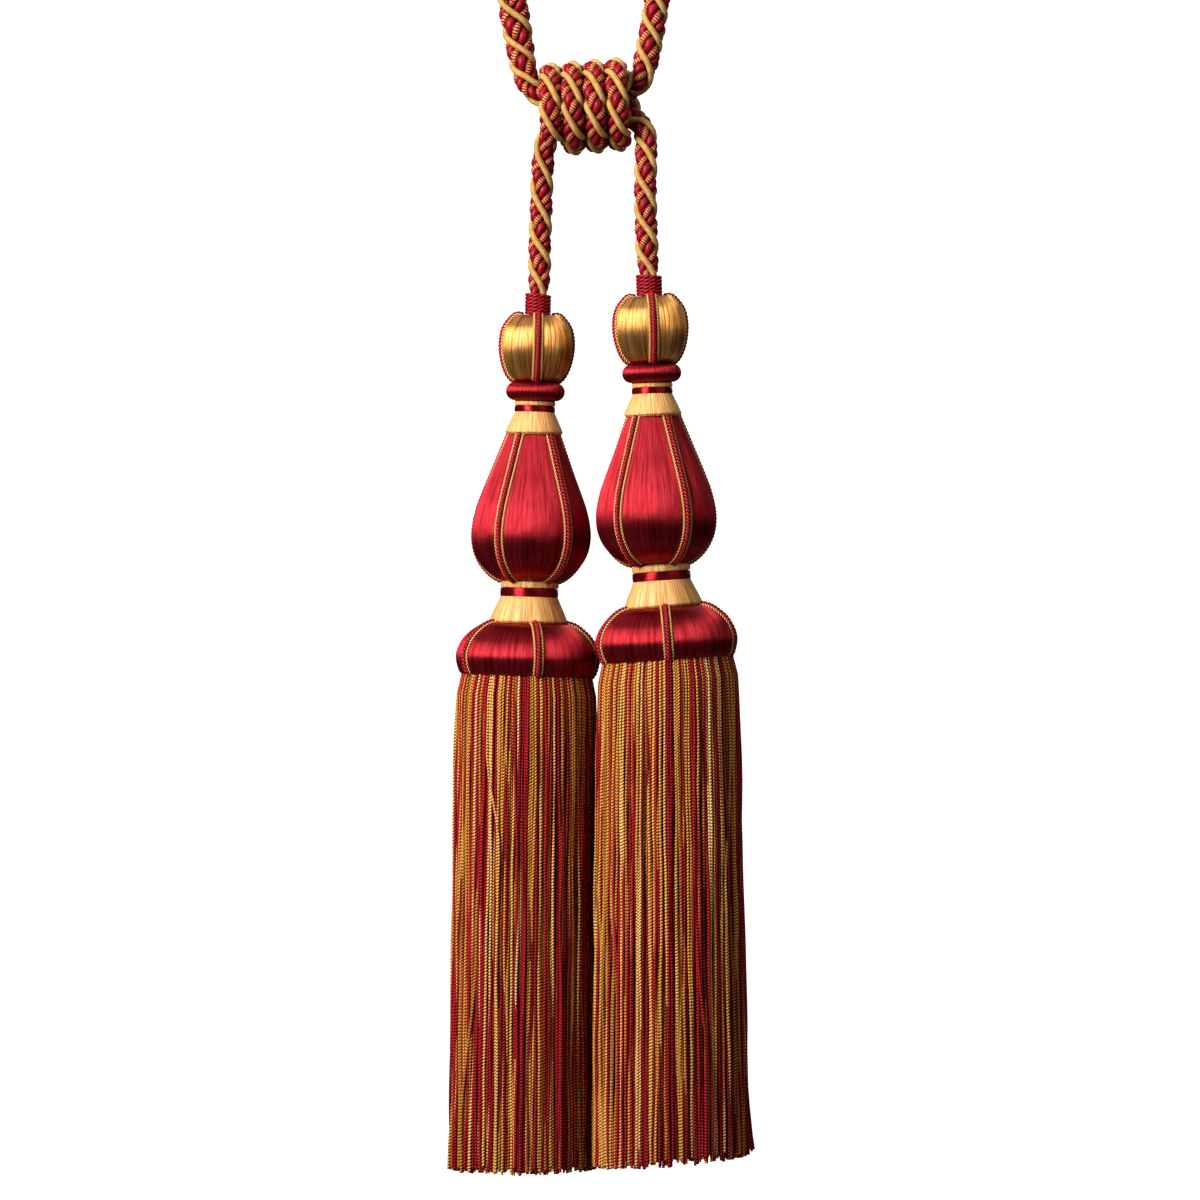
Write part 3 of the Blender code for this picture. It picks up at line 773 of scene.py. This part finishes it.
whipping_cord = Strand(
    crimson_cord, step=0.4, sides=12, share=1, plies=2, groove=0.5, pitch=WHIPPING_PITCH
)
whipping_tree = cord_tree("whipping_cord", [whipping_cord])
whipping_lowest = WHIPPING_BOTTOM + WHIPPING_CORD
whipping_rise = (WHIPPING_TOP - WHIPPING_CORD - whipping_lowest) / WHIPPING_TURNS
whipping_angles = np.radians(np.arange(0, 360 * WHIPPING_TURNS + 1, WHIPPING_STEP))
whipping_out = np.stack(
    [np.sin(whipping_angles), np.cos(whipping_angles), 0 * whipping_angles], axis=1
)
for tassel in (LEFT, RIGHT):
    matrix = np.array(upper_matrix(tassel))
    line = whipping_out * (WHIPPING_RADIUS - WHIPPING_CORD)
    line[:, 2] = whipping_lowest + whipping_rise * whipping_angles / math.tau
    line = line @ matrix[:3, :3].T + matrix[:3, 3]
    out = whipping_out @ matrix[:3, :3].T
    count = len(line)
    chain = (line, np.full(count, WHIPPING_CORD), np.zeros(count), out)
    whipping = grown(
        cord_lines(f"{tassel.name}_whipping", [chain]), whipping_tree, {"First Turn": 0.0}
    )
    stood_for(whipping, "crimson_cord", f"{tassel.name}_neck_whipping")

# The balls: turned moulds at the heads of the tassels, covered with gold satin floss that is laid
# from pole to pole. The trims, which are sewn on along the seams, draw the floss in.

# A mould's profile from its top to its bottom, in millimetres. Its lobes stand between seams that
# are flat for land degrees to either side, and draw in by that share of its radius. Its trims run
# down between two shares of the profile.
ProfilePoint = namedtuple("ProfilePoint", "radius height")
Mould = namedtuple("Mould", "name lobes land draw_in trim_from trim_to profile")
BALL = Mould(
    name="ball", lobes=4, land=9.5, draw_in=0.085, trim_from=0.05, trim_to=1.0,
    profile=(
        ProfilePoint(5.9, -1.3),
        ProfilePoint(8.8, -0.3),
        ProfilePoint(11.7, -2.5),
        ProfilePoint(14.2, -6.0),
        ProfilePoint(15.2, -11.6),
        ProfilePoint(14.7, -17.0),
        ProfilePoint(12.6, -23.0),
        ProfilePoint(10.0, -26.0),
        ProfilePoint(7.4, -26.8),
    ),
)
MOULD_STEP = 0.6
MOULD_SIDES = 160


def drawn_in(mould, turn, angle):
    """How much of its radius a mould keeps at that angle from the front, in degrees."""
    lobe = 360 / mould.lobes
    past = (angle - turn + mould.land) % lobe
    if past < 2 * mould.land:
        flat = math.cos(math.radians(mould.land)) / math.cos(math.radians(past - mould.land))
        return (1 - mould.draw_in) * flat
    share = (past - 2 * mould.land) / (lobe - 2 * mould.land)
    return 1 - mould.draw_in * (2 * share - 1) ** 2


# Both ends of a turned body are closed: they go on by the seat, at that share of the radius.
SEAT = 0.6
SEAT_SHARE = 0.93
# Edges that bend by more than this angle are shaded sharp.
SHARP_FROM = 50


def lathe(name, profile, sides, matrix, material, kept=None, crossed=False):
    """A body turned round the axis of the matrix, and closed at the axis. Kept gives the share of
    its radius that it keeps at an angle. Its UV map holds the turn and the way down the profile in
    millimetres, or if crossed, the height and the way round."""
    (first, top), (last, bottom) = profile[0], profile[-1]
    above = [(0, top + SEAT), (first * SEAT_SHARE, top + SEAT)]
    below = [(last * SEAT_SHARE, bottom - SEAT), (0, bottom - SEAT)]
    profile = np.array([*above, *profile, *below], float)
    end = len(profile) - 1
    places = []
    for level, (radius, height) in enumerate(profile):
        for side in range(1 if level in (0, end) else sides):
            angle = 360 * side / sides
            turn = math.radians(angle + 180)
            reach = radius * kept(angle) if kept else radius
            spot = Vector((math.sin(turn) * reach, -math.cos(turn) * reach, height))
            places.append(matrix @ spot * MM)
    along = distances(profile)
    girth = math.tau * profile[:, 0].max()
    faces = []
    corners = []
    for level in range(end):
        for side in range(sides):
            quad = [(level, side), (level + 1, side), (level + 1, side + 1), (level, side + 1)]
            if level == 0:
                quad.pop(3)
            elif level == end - 1:
                quad.pop(2)
            face = []
            for row, step in quad:
                on_ring = step % sides if row < end else 0
                face.append(1 + (row - 1) * sides + on_ring if row > 0 else 0)
                if crossed:
                    corners.append((along[row] / along[-1], girth * step / sides))
                else:
                    corners.append((step / sides, along[row]))
            faces.append(face)
    mesh = bpy.data.meshes.new(name)
    mesh.from_pydata(places, [], faces)
    mesh.uv_layers.new(name="UVMap").uv.foreach_set("vector", np.array(corners).ravel())
    mesh.materials.append(material)
    mesh.shade_smooth()
    mesh.set_sharp_from_angle(angle=math.radians(SHARP_FROM))
    return new_piece(name, mesh)


# Satin floss. Its threads are counted round the body, or over the height of a ribbon. Threads and
# tufts change slowly along their length. Highlights lie round the body, or are turned from that by
# a part of a turn.
Satin = namedtuple("Satin", "shadow deep bright threads metal roughness coat turned")
SATIN_WANDER = 1.6
TUFTS_A_THREAD = 0.3
TUFT_CHANGE = 0.09
THREAD_CHANGE = 0.04
PARTINGS_A_THREAD = 0.8
PARTING_SHIFT = (9.0, 3.0, 0.0)
TUFT_TONE = 0.3
TUFT_RELIEF = 0.65
FINE_RELIEF = 0.15
SATIN_DRAWN_OUT = 0.95
COAT_ROUGHNESS = 0.45


def satin(name, look):
    """Floss laid side by side: streaks and tufts that follow it, and highlights that cross it."""
    material, surface, start = new_material(name)
    place = skin_place(start)[0]
    tuft = noise(
        place.vector("MULTIPLY", (look.threads * TUFTS_A_THREAD, TUFT_CHANGE, 1.0)), detail=2.0
    )
    wander = start.node("ShaderNodeCombineXYZ", {0: (tuft - 0.5) * (SATIN_WANDER / look.threads)})
    threads = place.vector("ADD", wander).vector("MULTIPLY", (look.threads, THREAD_CHANGE, 1.0))
    fine = noise(threads, detail=4.0)
    partings = threads.vector("MULTIPLY", (PARTINGS_A_THREAD, PARTINGS_A_THREAD, 1.0))
    parting = noise(partings.vector("ADD", PARTING_SHIFT), detail=3.0)
    tone = (fine * (1 - TUFT_TONE) + tuft * TUFT_TONE).ranged(low=0.38, high=0.62)
    closed = parting.ranged(low=0.30, high=0.40)
    colour = closed.blend(look.shadow, tone.blend(look.deep, look.bright))
    height = fine * FINE_RELIEF + tuft * TUFT_RELIEF
    dye(surface, colour, look.roughness, None, height, depth=0.0009, strength=0.6)
    surface.inputs["Metallic"].default_value = look.metal
    surface.inputs["Anisotropic"].default_value = SATIN_DRAWN_OUT
    surface.inputs["Anisotropic Rotation"].default_value = look.turned
    surface.inputs["Coat Weight"].default_value = look.coat
    surface.inputs["Coat Roughness"].default_value = COAT_ROUGHNESS
    return material


def covered(mould, tassel, turn, matrix, material, slot):
    """A mould with its floss, whose first seam is turned by that many degrees from the front."""
    threads = lathe(
        f"{tassel.name}_{mould.name}_threads",
        smooth_line(mould.profile, MOULD_STEP),
        MOULD_SIDES,
        matrix,
        material,
        lambda angle: drawn_in(mould, turn, angle + 180),
    )
    stood_for(threads, slot, f"{tassel.name}_{mould.name}")


gold_satin = satin(
    "gold_satin",
    Satin(
        shadow=(0.28, 0.08, 0.006, 1.0),
        deep=(0.41, 0.13, 0.011, 1.0),
        bright=(0.86, 0.50, 0.17, 1.0),
        threads=160.0, metal=0.88, roughness=0.52, coat=0.25, turned=0.0,
    ),
)
for tassel in (LEFT, RIGHT):
    covered(BALL, tassel, tassel.ball_turn, upper_matrix(tassel), gold_satin, "gold_satin")

# The beads: ring moulds covered with crimson satin floss, threaded on under the balls. Each hides
# the joint between the ball and the collar under it.
BEAD_CENTRE = -30.8
BEAD_RADIUS = 11.8
BEAD_HALF_HEIGHT = 3.65
BEAD_STEP = 7.5
BEAD_SIDES = 72

crimson_satin = satin(
    "crimson_satin",
    Satin(
        shadow=(0.13, 0.003, 0.007, 1.0),
        deep=(0.24, 0.009, 0.015, 1.0),
        bright=(0.44, 0.036, 0.048, 1.0),
        threads=210.0, metal=0.9, roughness=0.55, coat=0.0, turned=0.0,
    ),
)
bead_middle = BEAD_RADIUS - BEAD_HALF_HEIGHT
bead_profile = [
    (
        bead_middle + BEAD_HALF_HEIGHT * math.cos(math.radians(angle)),
        BEAD_CENTRE + BEAD_HALF_HEIGHT * math.sin(math.radians(angle)),
    )
    for angle in np.arange(90, -90 - BEAD_STEP, -BEAD_STEP)
]
for tassel in (LEFT, RIGHT):
    name = f"{tassel.name}_bead_threads"
    bead = lathe(name, bead_profile, BEAD_SIDES, upper_matrix(tassel), crimson_satin)
    stood_for(bead, "crimson_satin", f"{tassel.name}_bead")

# The collars: ruffs of pale gold thread above the pears and the caps, cut off level at the hem.
# Each is tied round its waist, above which the thread stands up as a narrow rim.
Collar = namedtuple(
    "Collar", "name top rim_radius rim_height waist_radius band_height ruff_radius ruff_height"
)
UPPER_COLLAR = Collar(
    name="upper", top=-34.8, rim_radius=8.2, rim_height=1.7,
    waist_radius=7.2, band_height=2.8, ruff_radius=11.5, ruff_height=8.3,
)
LOWER_COLLAR = Collar(
    name="lower", top=-107.2, rim_radius=11.7, rim_height=2.4,
    waist_radius=10.7, band_height=3.8, ruff_radius=15.6, ruff_height=10.0,
)
COLLAR_SIDES = 144
# The rim's rounded edge, in millimetres, and its two corners in shares of that.
RIM_EDGE = 0.5
EDGE_NEAR = 0.2
EDGE_FAR = 0.3
# The ruff's flare, in shares of its spread and of its height.
FlarePoint = namedtuple("FlarePoint", "spread down")
FLARE_POINTS = (FlarePoint(0.28, 0.28), FlarePoint(0.7, 0.64))
FLARE_STEP = 1.0
# The hem, in rim edges inward from the ruff's radius and up from its bottom. Its last point lies
# in the body below. The inside of the ruff closes at a share of its height.
HemPoint = namedtuple("HemPoint", "inward up")
HEM_FROM = 1.2
HEM_POINTS = (HemPoint(0.2, 0.4), HemPoint(1.0, 0.0), HemPoint(1.8, -1.0))
HOLLOW_SHARE = 0.3

RUFF_DEEP = (0.50, 0.21, 0.04, 1.0)
RUFF_BRIGHT = (0.77, 0.46, 0.18, 1.0)
RUFF_STREAKS = (120.0, 0.05, 1.0)
ruff_thread, surface, start = new_material("ruff_thread")
fine = noise(skin_place(start)[0].vector("MULTIPLY", RUFF_STREAKS), detail=3.0)
colour = fine.ranged(low=0.36, high=0.60).blend(RUFF_DEEP, RUFF_BRIGHT)
dye(surface, colour, 0.6, None, fine, depth=0.0005, strength=0.8)

placed_collars = [
    (f"{tassel.name}_{collar.name}", collar, matrix(tassel))
    for tassel in (LEFT, RIGHT)
    for collar, matrix in ((UPPER_COLLAR, upper_matrix), (LOWER_COLLAR, lower_matrix))
]
for name, collar, matrix in placed_collars:
    rim_bottom = collar.top - collar.rim_height
    waist_bottom = rim_bottom - collar.band_height
    bottom = waist_bottom - collar.ruff_height
    rim = [
        (collar.rim_radius - RIM_EDGE, collar.top),
        (collar.rim_radius - RIM_EDGE * EDGE_NEAR, collar.top - RIM_EDGE * EDGE_FAR),
        (collar.rim_radius, collar.top - RIM_EDGE),
        (collar.rim_radius, rim_bottom + RIM_EDGE),
        (collar.rim_radius - RIM_EDGE * EDGE_FAR, rim_bottom + RIM_EDGE * EDGE_NEAR),
        (collar.waist_radius, rim_bottom),
        (collar.waist_radius, waist_bottom + RIM_EDGE),
    ]
    spread = collar.ruff_radius - collar.rim_radius
    flare = [(collar.rim_radius - RIM_EDGE / 2, waist_bottom + RIM_EDGE / 2)]
    for point in FLARE_POINTS:
        flare.append(
            (
                collar.rim_radius + point.spread * spread,
                waist_bottom - point.down * collar.ruff_height,
            )
        )
    flare.append((collar.ruff_radius, bottom + HEM_FROM * RIM_EDGE))
    hem = [
        (collar.ruff_radius - point.inward * RIM_EDGE, bottom + point.up * RIM_EDGE)
        for point in HEM_POINTS
    ]
    hem.append((collar.waist_radius, bottom + HOLLOW_SHARE * collar.ruff_height))
    profile = [*rim, *smooth_line(flare, FLARE_STEP), *hem]
    ruff = lathe(f"{name}_ruff", profile, COLLAR_SIDES, matrix, ruff_thread)
    stood_for(ruff, "pale_gold_thread", f"{name}_collar")

# The bands: glossy crimson ribbon, tied round the waist of each collar between its rim and its
# ruff. The ribbon's threads run round the collar, and it bulges a little in the middle.
RIBBON_SIDES = 72
RIBBON_GAP = 0.3

ribbon = satin(
    "ribbon_weave",
    Satin(
        shadow=(0.30, 0.010, 0.018, 1.0),
        deep=(0.30, 0.010, 0.018, 1.0),
        bright=(0.42, 0.028, 0.038, 1.0),
        threads=6.0, metal=0.88, roughness=0.46, coat=0.0, turned=0.25,
    ),
)
for name, collar, matrix in placed_collars:
    rim_bottom = collar.top - collar.rim_height
    inner = collar.waist_radius - RIBBON_GAP
    outer = collar.rim_radius - RIM_EDGE / 4
    top = rim_bottom - RIBBON_GAP / 3
    bottom = rim_bottom - collar.band_height + RIBBON_GAP / 3
    profile = [
        (inner, top),
        (outer - RIBBON_GAP, top),
        (outer, top - RIBBON_GAP),
        (outer + RIBBON_GAP / 3, (top + bottom) / 2),
        (outer, bottom + RIBBON_GAP),
        (outer - RIBBON_GAP, bottom),
        (inner, bottom),
    ]
    band = lathe(f"{name}_ribbon", profile, RIBBON_SIDES, matrix, ribbon, crossed=True)
    stood_for(band, "crimson_ribbon", f"{name}_band")

# The pears: long turned moulds covered with crimson satin floss, which is laid from the upper
# collar down to the lower one. Five trims draw it in along the seams.
PEAR = Mould(
    name="pear", lobes=5, land=6.0, draw_in=0.03, trim_from=0.0, trim_to=1.0,
    profile=(
        ProfilePoint(10.2, -47.9),
        ProfilePoint(13.4, -55.6),
        ProfilePoint(16.6, -63.4),
        ProfilePoint(19.8, -71.2),
        ProfilePoint(22.6, -79.0),
        ProfilePoint(24.1, -87.0),
        ProfilePoint(23.7, -93.2),
        ProfilePoint(21.6, -98.6),
        ProfilePoint(17.6, -103.4),
        ProfilePoint(12.8, -106.3),
        ProfilePoint(9.4, -106.9),
    ),
)
for tassel in (LEFT, RIGHT):
    covered(PEAR, tassel, tassel.pear_turn, upper_matrix(tassel), crimson_satin, "crimson_satin")

# The caps: domed moulds covered with the same floss and drawn in by five trims. They hang under
# the lower collars and hide the roots of the fringes.
CAP = Mould(
    name="cap", lobes=5, land=5.5, draw_in=0.03, trim_from=0.05, trim_to=1.0,
    profile=(
        ProfilePoint(14.6, -123.7),
        ProfilePoint(19.0, -124.7),
        ProfilePoint(23.4, -127.6),
        ProfilePoint(26.8, -131.4),
        ProfilePoint(28.8, -137.0),
        ProfilePoint(28.2, -141.4),
        ProfilePoint(26.8, -144.4),
        ProfilePoint(25.0, -145.3),
    ),
)
for tassel in (LEFT, RIGHT):
    covered(CAP, tassel, tassel.cap_turn, lower_matrix(tassel), crimson_satin, "crimson_satin")

# The trims: a two-ply crimson cord between two thin gold twists, sewn down every seam of the
# balls, pears and caps. The lower end of each is tucked in under the mould's edge.
TRIM_STEP = 1.0
TRIM_SINK = 1.2
TRIM_SINK_LENGTH = 2.5
TRIM_CORD = 1.08
TRIM_CORD_RISE = 0.70
TRIM_CORD_PITCH = -2.9
TRIM_TWIST_PITCH = 2.4
TRIM_TWIST = 0.50
TRIM_TWIST_REACH = 1.62
TRIM_TWIST_ANGLE = 79
TWIST_SHADOW = (0.10, 0.012, 0.006, 1.0)
TWIST_GOLD = (0.80, 0.52, 0.18, 1.0)

gold_twist, surface, start = new_material("gold_twist")
turn = skin_place(start)[1]
colour = groove_shade(turn, dark=0.4, light=0.9).blend(TWIST_SHADOW, TWIST_GOLD)
dye(surface, colour, 0.5, THREAD_GLOSS)

trim_cord = Strand(
    crimson_cord, step=0.5, sides=10, reach=TRIM_CORD_RISE, share=TRIM_CORD, plies=2, groove=0.4,
    pitch=TRIM_CORD_PITCH,
)
trim_twist = Strand(
    gold_twist, step=0.4, sides=8, reach=TRIM_TWIST_REACH, share=TRIM_TWIST, plies=2, groove=0.42,
    pitch=TRIM_TWIST_PITCH,
)
trim_tree = cord_tree(
    "trim_cords",
    [
        trim_cord,
        trim_twist._replace(phase=-TRIM_TWIST_ANGLE),
        trim_twist._replace(phase=TRIM_TWIST_ANGLE),
    ],
)
for tassel in (LEFT, RIGHT):
    for mould, turn, matrix in (
        (BALL, tassel.ball_turn, upper_matrix(tassel)),
        (PEAR, tassel.pear_turn, upper_matrix(tassel)),
        (CAP, tassel.cap_turn, lower_matrix(tassel)),
    ):
        rows = smooth_line(mould.profile, TRIM_STEP)
        rows = rows[int(len(rows) * mould.trim_from) : int(len(rows) * mould.trim_to)]
        to_end = np.arange(len(rows))[::-1] * TRIM_STEP
        sunk = TRIM_SINK * np.maximum(0, 1 - to_end / TRIM_SINK_LENGTH)[:, None]
        rotate = np.array(matrix.to_3x3())
        chains = []
        for number in range(mould.lobes):
            angle = math.radians(turn + 360 / mould.lobes * number)
            out = np.array((math.sin(angle), -math.cos(angle), 0))
            line = out * rows[:, :1] * drawn_in(mould, 0, 0)
            line[:, 2] = rows[:, 1]
            along = np.gradient(line, axis=0)
            along /= np.linalg.norm(along, axis=1)[:, None]
            rise = np.cross(along, (math.cos(angle), math.sin(angle), 0))
            line -= rise * sunk
            line = line @ rotate.T + np.array(matrix.translation)
            count = len(rows)
            chains.append((line, np.ones(count), np.zeros(count), rise @ rotate.T))
        trims = grown(
            cord_lines(f"{tassel.name}_{mould.name}_trims", chains), trim_tree, {"First Turn": 0.0}
        )
        nodes = [f"{tassel.name}_{mould.name}_trim_{number + 1}" for number in range(mould.lobes)]
        stood_for(trims, "trim_braid", *nodes)

# The fringes: rings of twisted yarn, crimson and shades of gold. The yarns hang from a disc inside
# each cap, bend down over the disc's edge, and are cut off by hand at the bottom.

# Where the tips of a fringe lie: the middle and the radius of its cut end, how far that slopes up
# to the right, in degrees, and how far single yarns flare at its side. Crimson is the chance of
# crimson after gold, and gold is the commonest shade.
Tips = namedtuple("Tips", "x height radius slope flare crimson gold seed")
LEFT_TIPS = Tips(
    x=-29.4, height=-701.8, radius=29.4, slope=0.0, flare=0.0, crimson=1.0, gold=0.48, seed=11
)
RIGHT_TIPS = Tips(
    x=29.6, height=-697.0, radius=31.4, slope=4.6, flare=4.0, crimson=0.86, gold=0.60, seed=12
)
YarnRing = namedtuple("YarnRing", "yarns inset thick")
YARN_RINGS = (
    YarnRing(172, 0.0, 1.0),
    YarnRing(170, 0.8, 1.0),
    YarnRing(150, 1.9, 1.12),
    YarnRing(108, 3.8, 1.5),
)
OUTER_RINGS = 2
YARN_RADIUS = 0.53
YARN_THICKNESS = (0.85, 1.12)
YARN_BLOOM = 0.16
YARN_STEPS = 30
YARN_TWIST = 1.25
ROOT_HEIGHT = -144.9
ROOT_RADIUS = 25.8
SHOULDER_RADIUS = 27.2
ROOT_DROP = 2.6
# The fringe is widest at this share of the way down, where it bulges by this much.
FRINGE_BULGE = 0.5
BULGE_AT = 0.22
BULGE_POWER = math.log(0.5) / math.log(BULGE_AT)
# How unevenly the yarns hang, in millimetres: apart, sideways and in or out, from wave to wave.
# The cap holds them still at first, and they sway freely past the held share of their length.
UNEVEN = 0.45
Wave = namedtuple("Wave", "share rate")
SWAY = 0.26
SWAY_WAVES = (Wave(1.0, 6.0), Wave(0.6, 17.0), Wave(0.3, 41.0))
TUCK = 0.42
TUCK_WAVES = (Wave(1.0, 5.0), Wave(0.7, 13.0), Wave(0.3, 29.0))
HELD_SHARE = 1 / 6
LEAN_SPREAD = 0.7
LENGTH_SPREAD = 1.8
# Some yarns of the outer rings stray: each crosses its neighbours further, along some part of its
# length, and stands out from them.
STRAY_SHARE = 0.08
STRAY_SPREAD = 2.8
STRAY_FROM = (0.0, 0.7)
STRAY_OVER = (0.12, 0.35)
STRAY_OUT = 0.5
OTHERS_IN = 0.2
# Crimson yarns come out towards the tips and gold ones go in, from this share of the way down.
CRIMSON_RISE = 0.5
GOLD_SINK = 0.3
RISE_FROM = 0.35
# The few crimson yarns at the right-hand side that curl out near their ends.
FLARE_ANGLES = (84, 93)
FLARE_LEAST = 0.5
FLARE_FROM = 0.84
FLARE_SPAN = 0.256
FLARE_TONE = 0.2
# Tones of the yarns: crimsons from 0 to 0.3 and golds above it. They lie in runs of one to three.
CRIMSON_TONES = (0.06, 0.30)
CRIMSON_RUNS = (1, 1, 2, 2)
GOLD_FROM = 0.31
GOLD_TONES = (0.33, 0.95)
GOLD_RUN_TONES = (0.36, 0.94)
GOLD_RUNS = (1, 1, 2, 2, 3)
GOLD_SCATTER = 0.13
# The shades by tone: first the darkest crimson and the palest gold, then those between them.
YARN_SHADES = (
    (0.0, (0.20, 0.001, 0.006)),
    (1.0, (0.90, 0.58, 0.25)),
    (0.30, (0.50, 0.008, 0.018)),
    (0.32, (0.46, 0.16, 0.018)),
    (0.60, (0.76, 0.36, 0.06)),
    (0.80, (0.86, 0.47, 0.12)),
)
# Turns of the twist from tone to tone, so that neighbours don't show their plies in line.
TWIST_BY_TONE = 60.0

yarn, surface, start = new_material("fringe_yarn")
turn, along = skin_place(start)[1:]
tone = start.node("ShaderNodeAttribute", attribute_name="tone").out("Fac")
wave = start.math("SINE", (along / YARN_TWIST + tone * TWIST_BY_TONE - turn) * math.tau)
shade = start.node("ShaderNodeValToRGB", {0: tone}, stops=YARN_SHADES)
# Painted shade: each yarn darkens in the grooves of its twist, and its backs come out a little
# lighter than its dyed colour.
ply = wave.ranged(low=-0.9, high=0.5, least=0.14, most=1.12)
colour = start.node(
    "ShaderNodeMix", {0: 1.0, 6: shade, 7: ply}, 2, data_type="RGBA", blend_type="MULTIPLY"
)
dye(surface, colour, 0.55, THREAD_GLOSS, wave, depth=0.00015, strength=0.8)
yarn_tree = cord_tree("fringe_yarns", [Strand(yarn, step=8.0, sides=6, share=1)])


def yarn_tones(chance, tips, count):
    """A tone for each yarn in turn. A crimson run is always followed by a gold one."""
    tones = []
    crimson = False
    while len(tones) < count:
        crimson = not crimson and chance.random() < tips.crimson
        if crimson:
            tones += [chance.uniform(*CRIMSON_TONES) for _ in range(chance.choice(CRIMSON_RUNS))]
        else:
            base = chance.triangular(*GOLD_RUN_TONES, tips.gold)
            tones += [
                min(GOLD_TONES[1], max(GOLD_TONES[0], base + chance.gauss(0, GOLD_SCATTER)))
                for _ in range(chance.choice(GOLD_RUNS))
            ]
    return tones[:count]


def eased(share):
    """From 0 to 1 as the share goes from 0 to 1, level at both ends."""
    share = min(1.0, max(0.0, share))
    return share * share * (3 - 2 * share)


def waved(waves, share, phases):
    """The sum of the waves at that share of a yarn's length."""
    return sum(
        wave.share * math.sin(wave.rate * share + phase) for wave, phase in zip(waves, phases)
    )


# How one yarn hangs: how far it leans aside, from which share of its length and over how much of
# it, the phases of its waves, how far it stands out, how far it comes out or goes in on its way
# down, and how far it flares at the end.
Hang = namedtuple("Hang", "lean lean_from lean_over phases stand drift flare")


def yarn_line(root, shoulder, tip, out, hang):
    """The places of a yarn, from its root over the disc's edge and down to its tip."""
    side = Vector((-out.y, out.x, 0))
    line = [root]
    for step in range(YARN_STEPS + 1):
        share = step / YARN_STEPS
        free = min(1.0, share / HELD_SHARE)
        swell = math.sin(math.pi * share**BULGE_POWER)
        aside = hang.lean * eased((share - hang.lean_from) / hang.lean_over)
        aside += free * SWAY * waved(SWAY_WAVES, share, hang.phases)
        outward = TUCK * waved(TUCK_WAVES, share, hang.phases[len(SWAY_WAVES) :])
        outward += hang.stand + hang.drift * (share - RISE_FROM)
        outward *= free
        outward += hang.flare * eased((share - FLARE_FROM) / FLARE_SPAN)
        spot = shoulder.lerp(tip, share)
        line.append(spot + out * (FRINGE_BULGE * swell + outward) + side * aside)
    return np.array(line)


for tassel, tips in ((LEFT, LEFT_TIPS), (RIGHT, RIGHT_TIPS)):
    chance = random.Random(tips.seed)
    matrix = lower_matrix(tassel)
    slope = Matrix.Rotation(math.radians(-tips.slope), 4, "Y")
    tips_at = Vector((tips.x, tassel.y, tips.height))
    chains = []
    tones = []
    for number, ring in enumerate(YARN_RINGS):
        ring_tones = yarn_tones(chance, tips, ring.yarns)
        for count, tone in enumerate(ring_tones):
            angle = math.tau * (count + 0.5 * number) / ring.yarns
            angle += chance.uniform(-UNEVEN, UNEVEN) / ROOT_RADIUS
            out = Vector((math.sin(angle), -math.cos(angle), 0))
            tip = tips_at + slope @ (out * (tips.radius - ring.inset - YARN_RADIUS))
            tip.z += chance.uniform(-LENGTH_SPREAD, LENGTH_SPREAD)
            root = matrix @ (out * (ROOT_RADIUS - ring.inset) + Vector((0, 0, ROOT_HEIGHT)))
            shoulder = matrix @ (
                out * (SHOULDER_RADIUS - ring.inset) + Vector((0, 0, ROOT_HEIGHT - ROOT_DROP))
            )
            stray = number < OUTER_RINGS and chance.random() < STRAY_SHARE
            lean = chance.gauss(0, STRAY_SPREAD if stray else LEAN_SPREAD)
            hang = Hang(
                lean=lean / (1 + number // OUTER_RINGS),
                lean_from=chance.uniform(*STRAY_FROM) if stray else 0.0,
                lean_over=chance.uniform(*STRAY_OVER) if stray else 1.0,
                phases=[chance.uniform(0, math.tau) for _ in SWAY_WAVES + TUCK_WAVES],
                stand=STRAY_OUT if stray else -OTHERS_IN,
                drift=CRIMSON_RISE if tone < GOLD_FROM else -GOLD_SINK,
                flare=0.0,
            )
            at_side = FLARE_ANGLES[0] < math.degrees(angle) < FLARE_ANGLES[1]
            if number == 0 and tips.flare and at_side:
                hang = hang._replace(flare=tips.flare * chance.uniform(FLARE_LEAST, 1.0))
                tone = FLARE_TONE
            line = yarn_line(root, shoulder, tip, out, hang)
            rows = len(line)
            radii = YARN_RADIUS * ring.thick * chance.uniform(*YARN_THICKNESS)
            radii = radii * np.linspace(1, 1 + YARN_BLOOM, rows)
            sides = np.tile(np.array(out), (rows, 1))
            chains.append((line, radii, np.zeros(rows), sides))
            tones += [tone] * rows
    piece = cord_lines(f"{tassel.name}_fringe_yarns", chains)
    piece.data.attributes.new("tone", "FLOAT", "POINT").data.foreach_set("value", tones)
    fringe = grown(piece, yarn_tree, {"First Turn": 0.0})
    stood_for(fringe, "fringe_yarn", f"{tassel.name}_fringe")
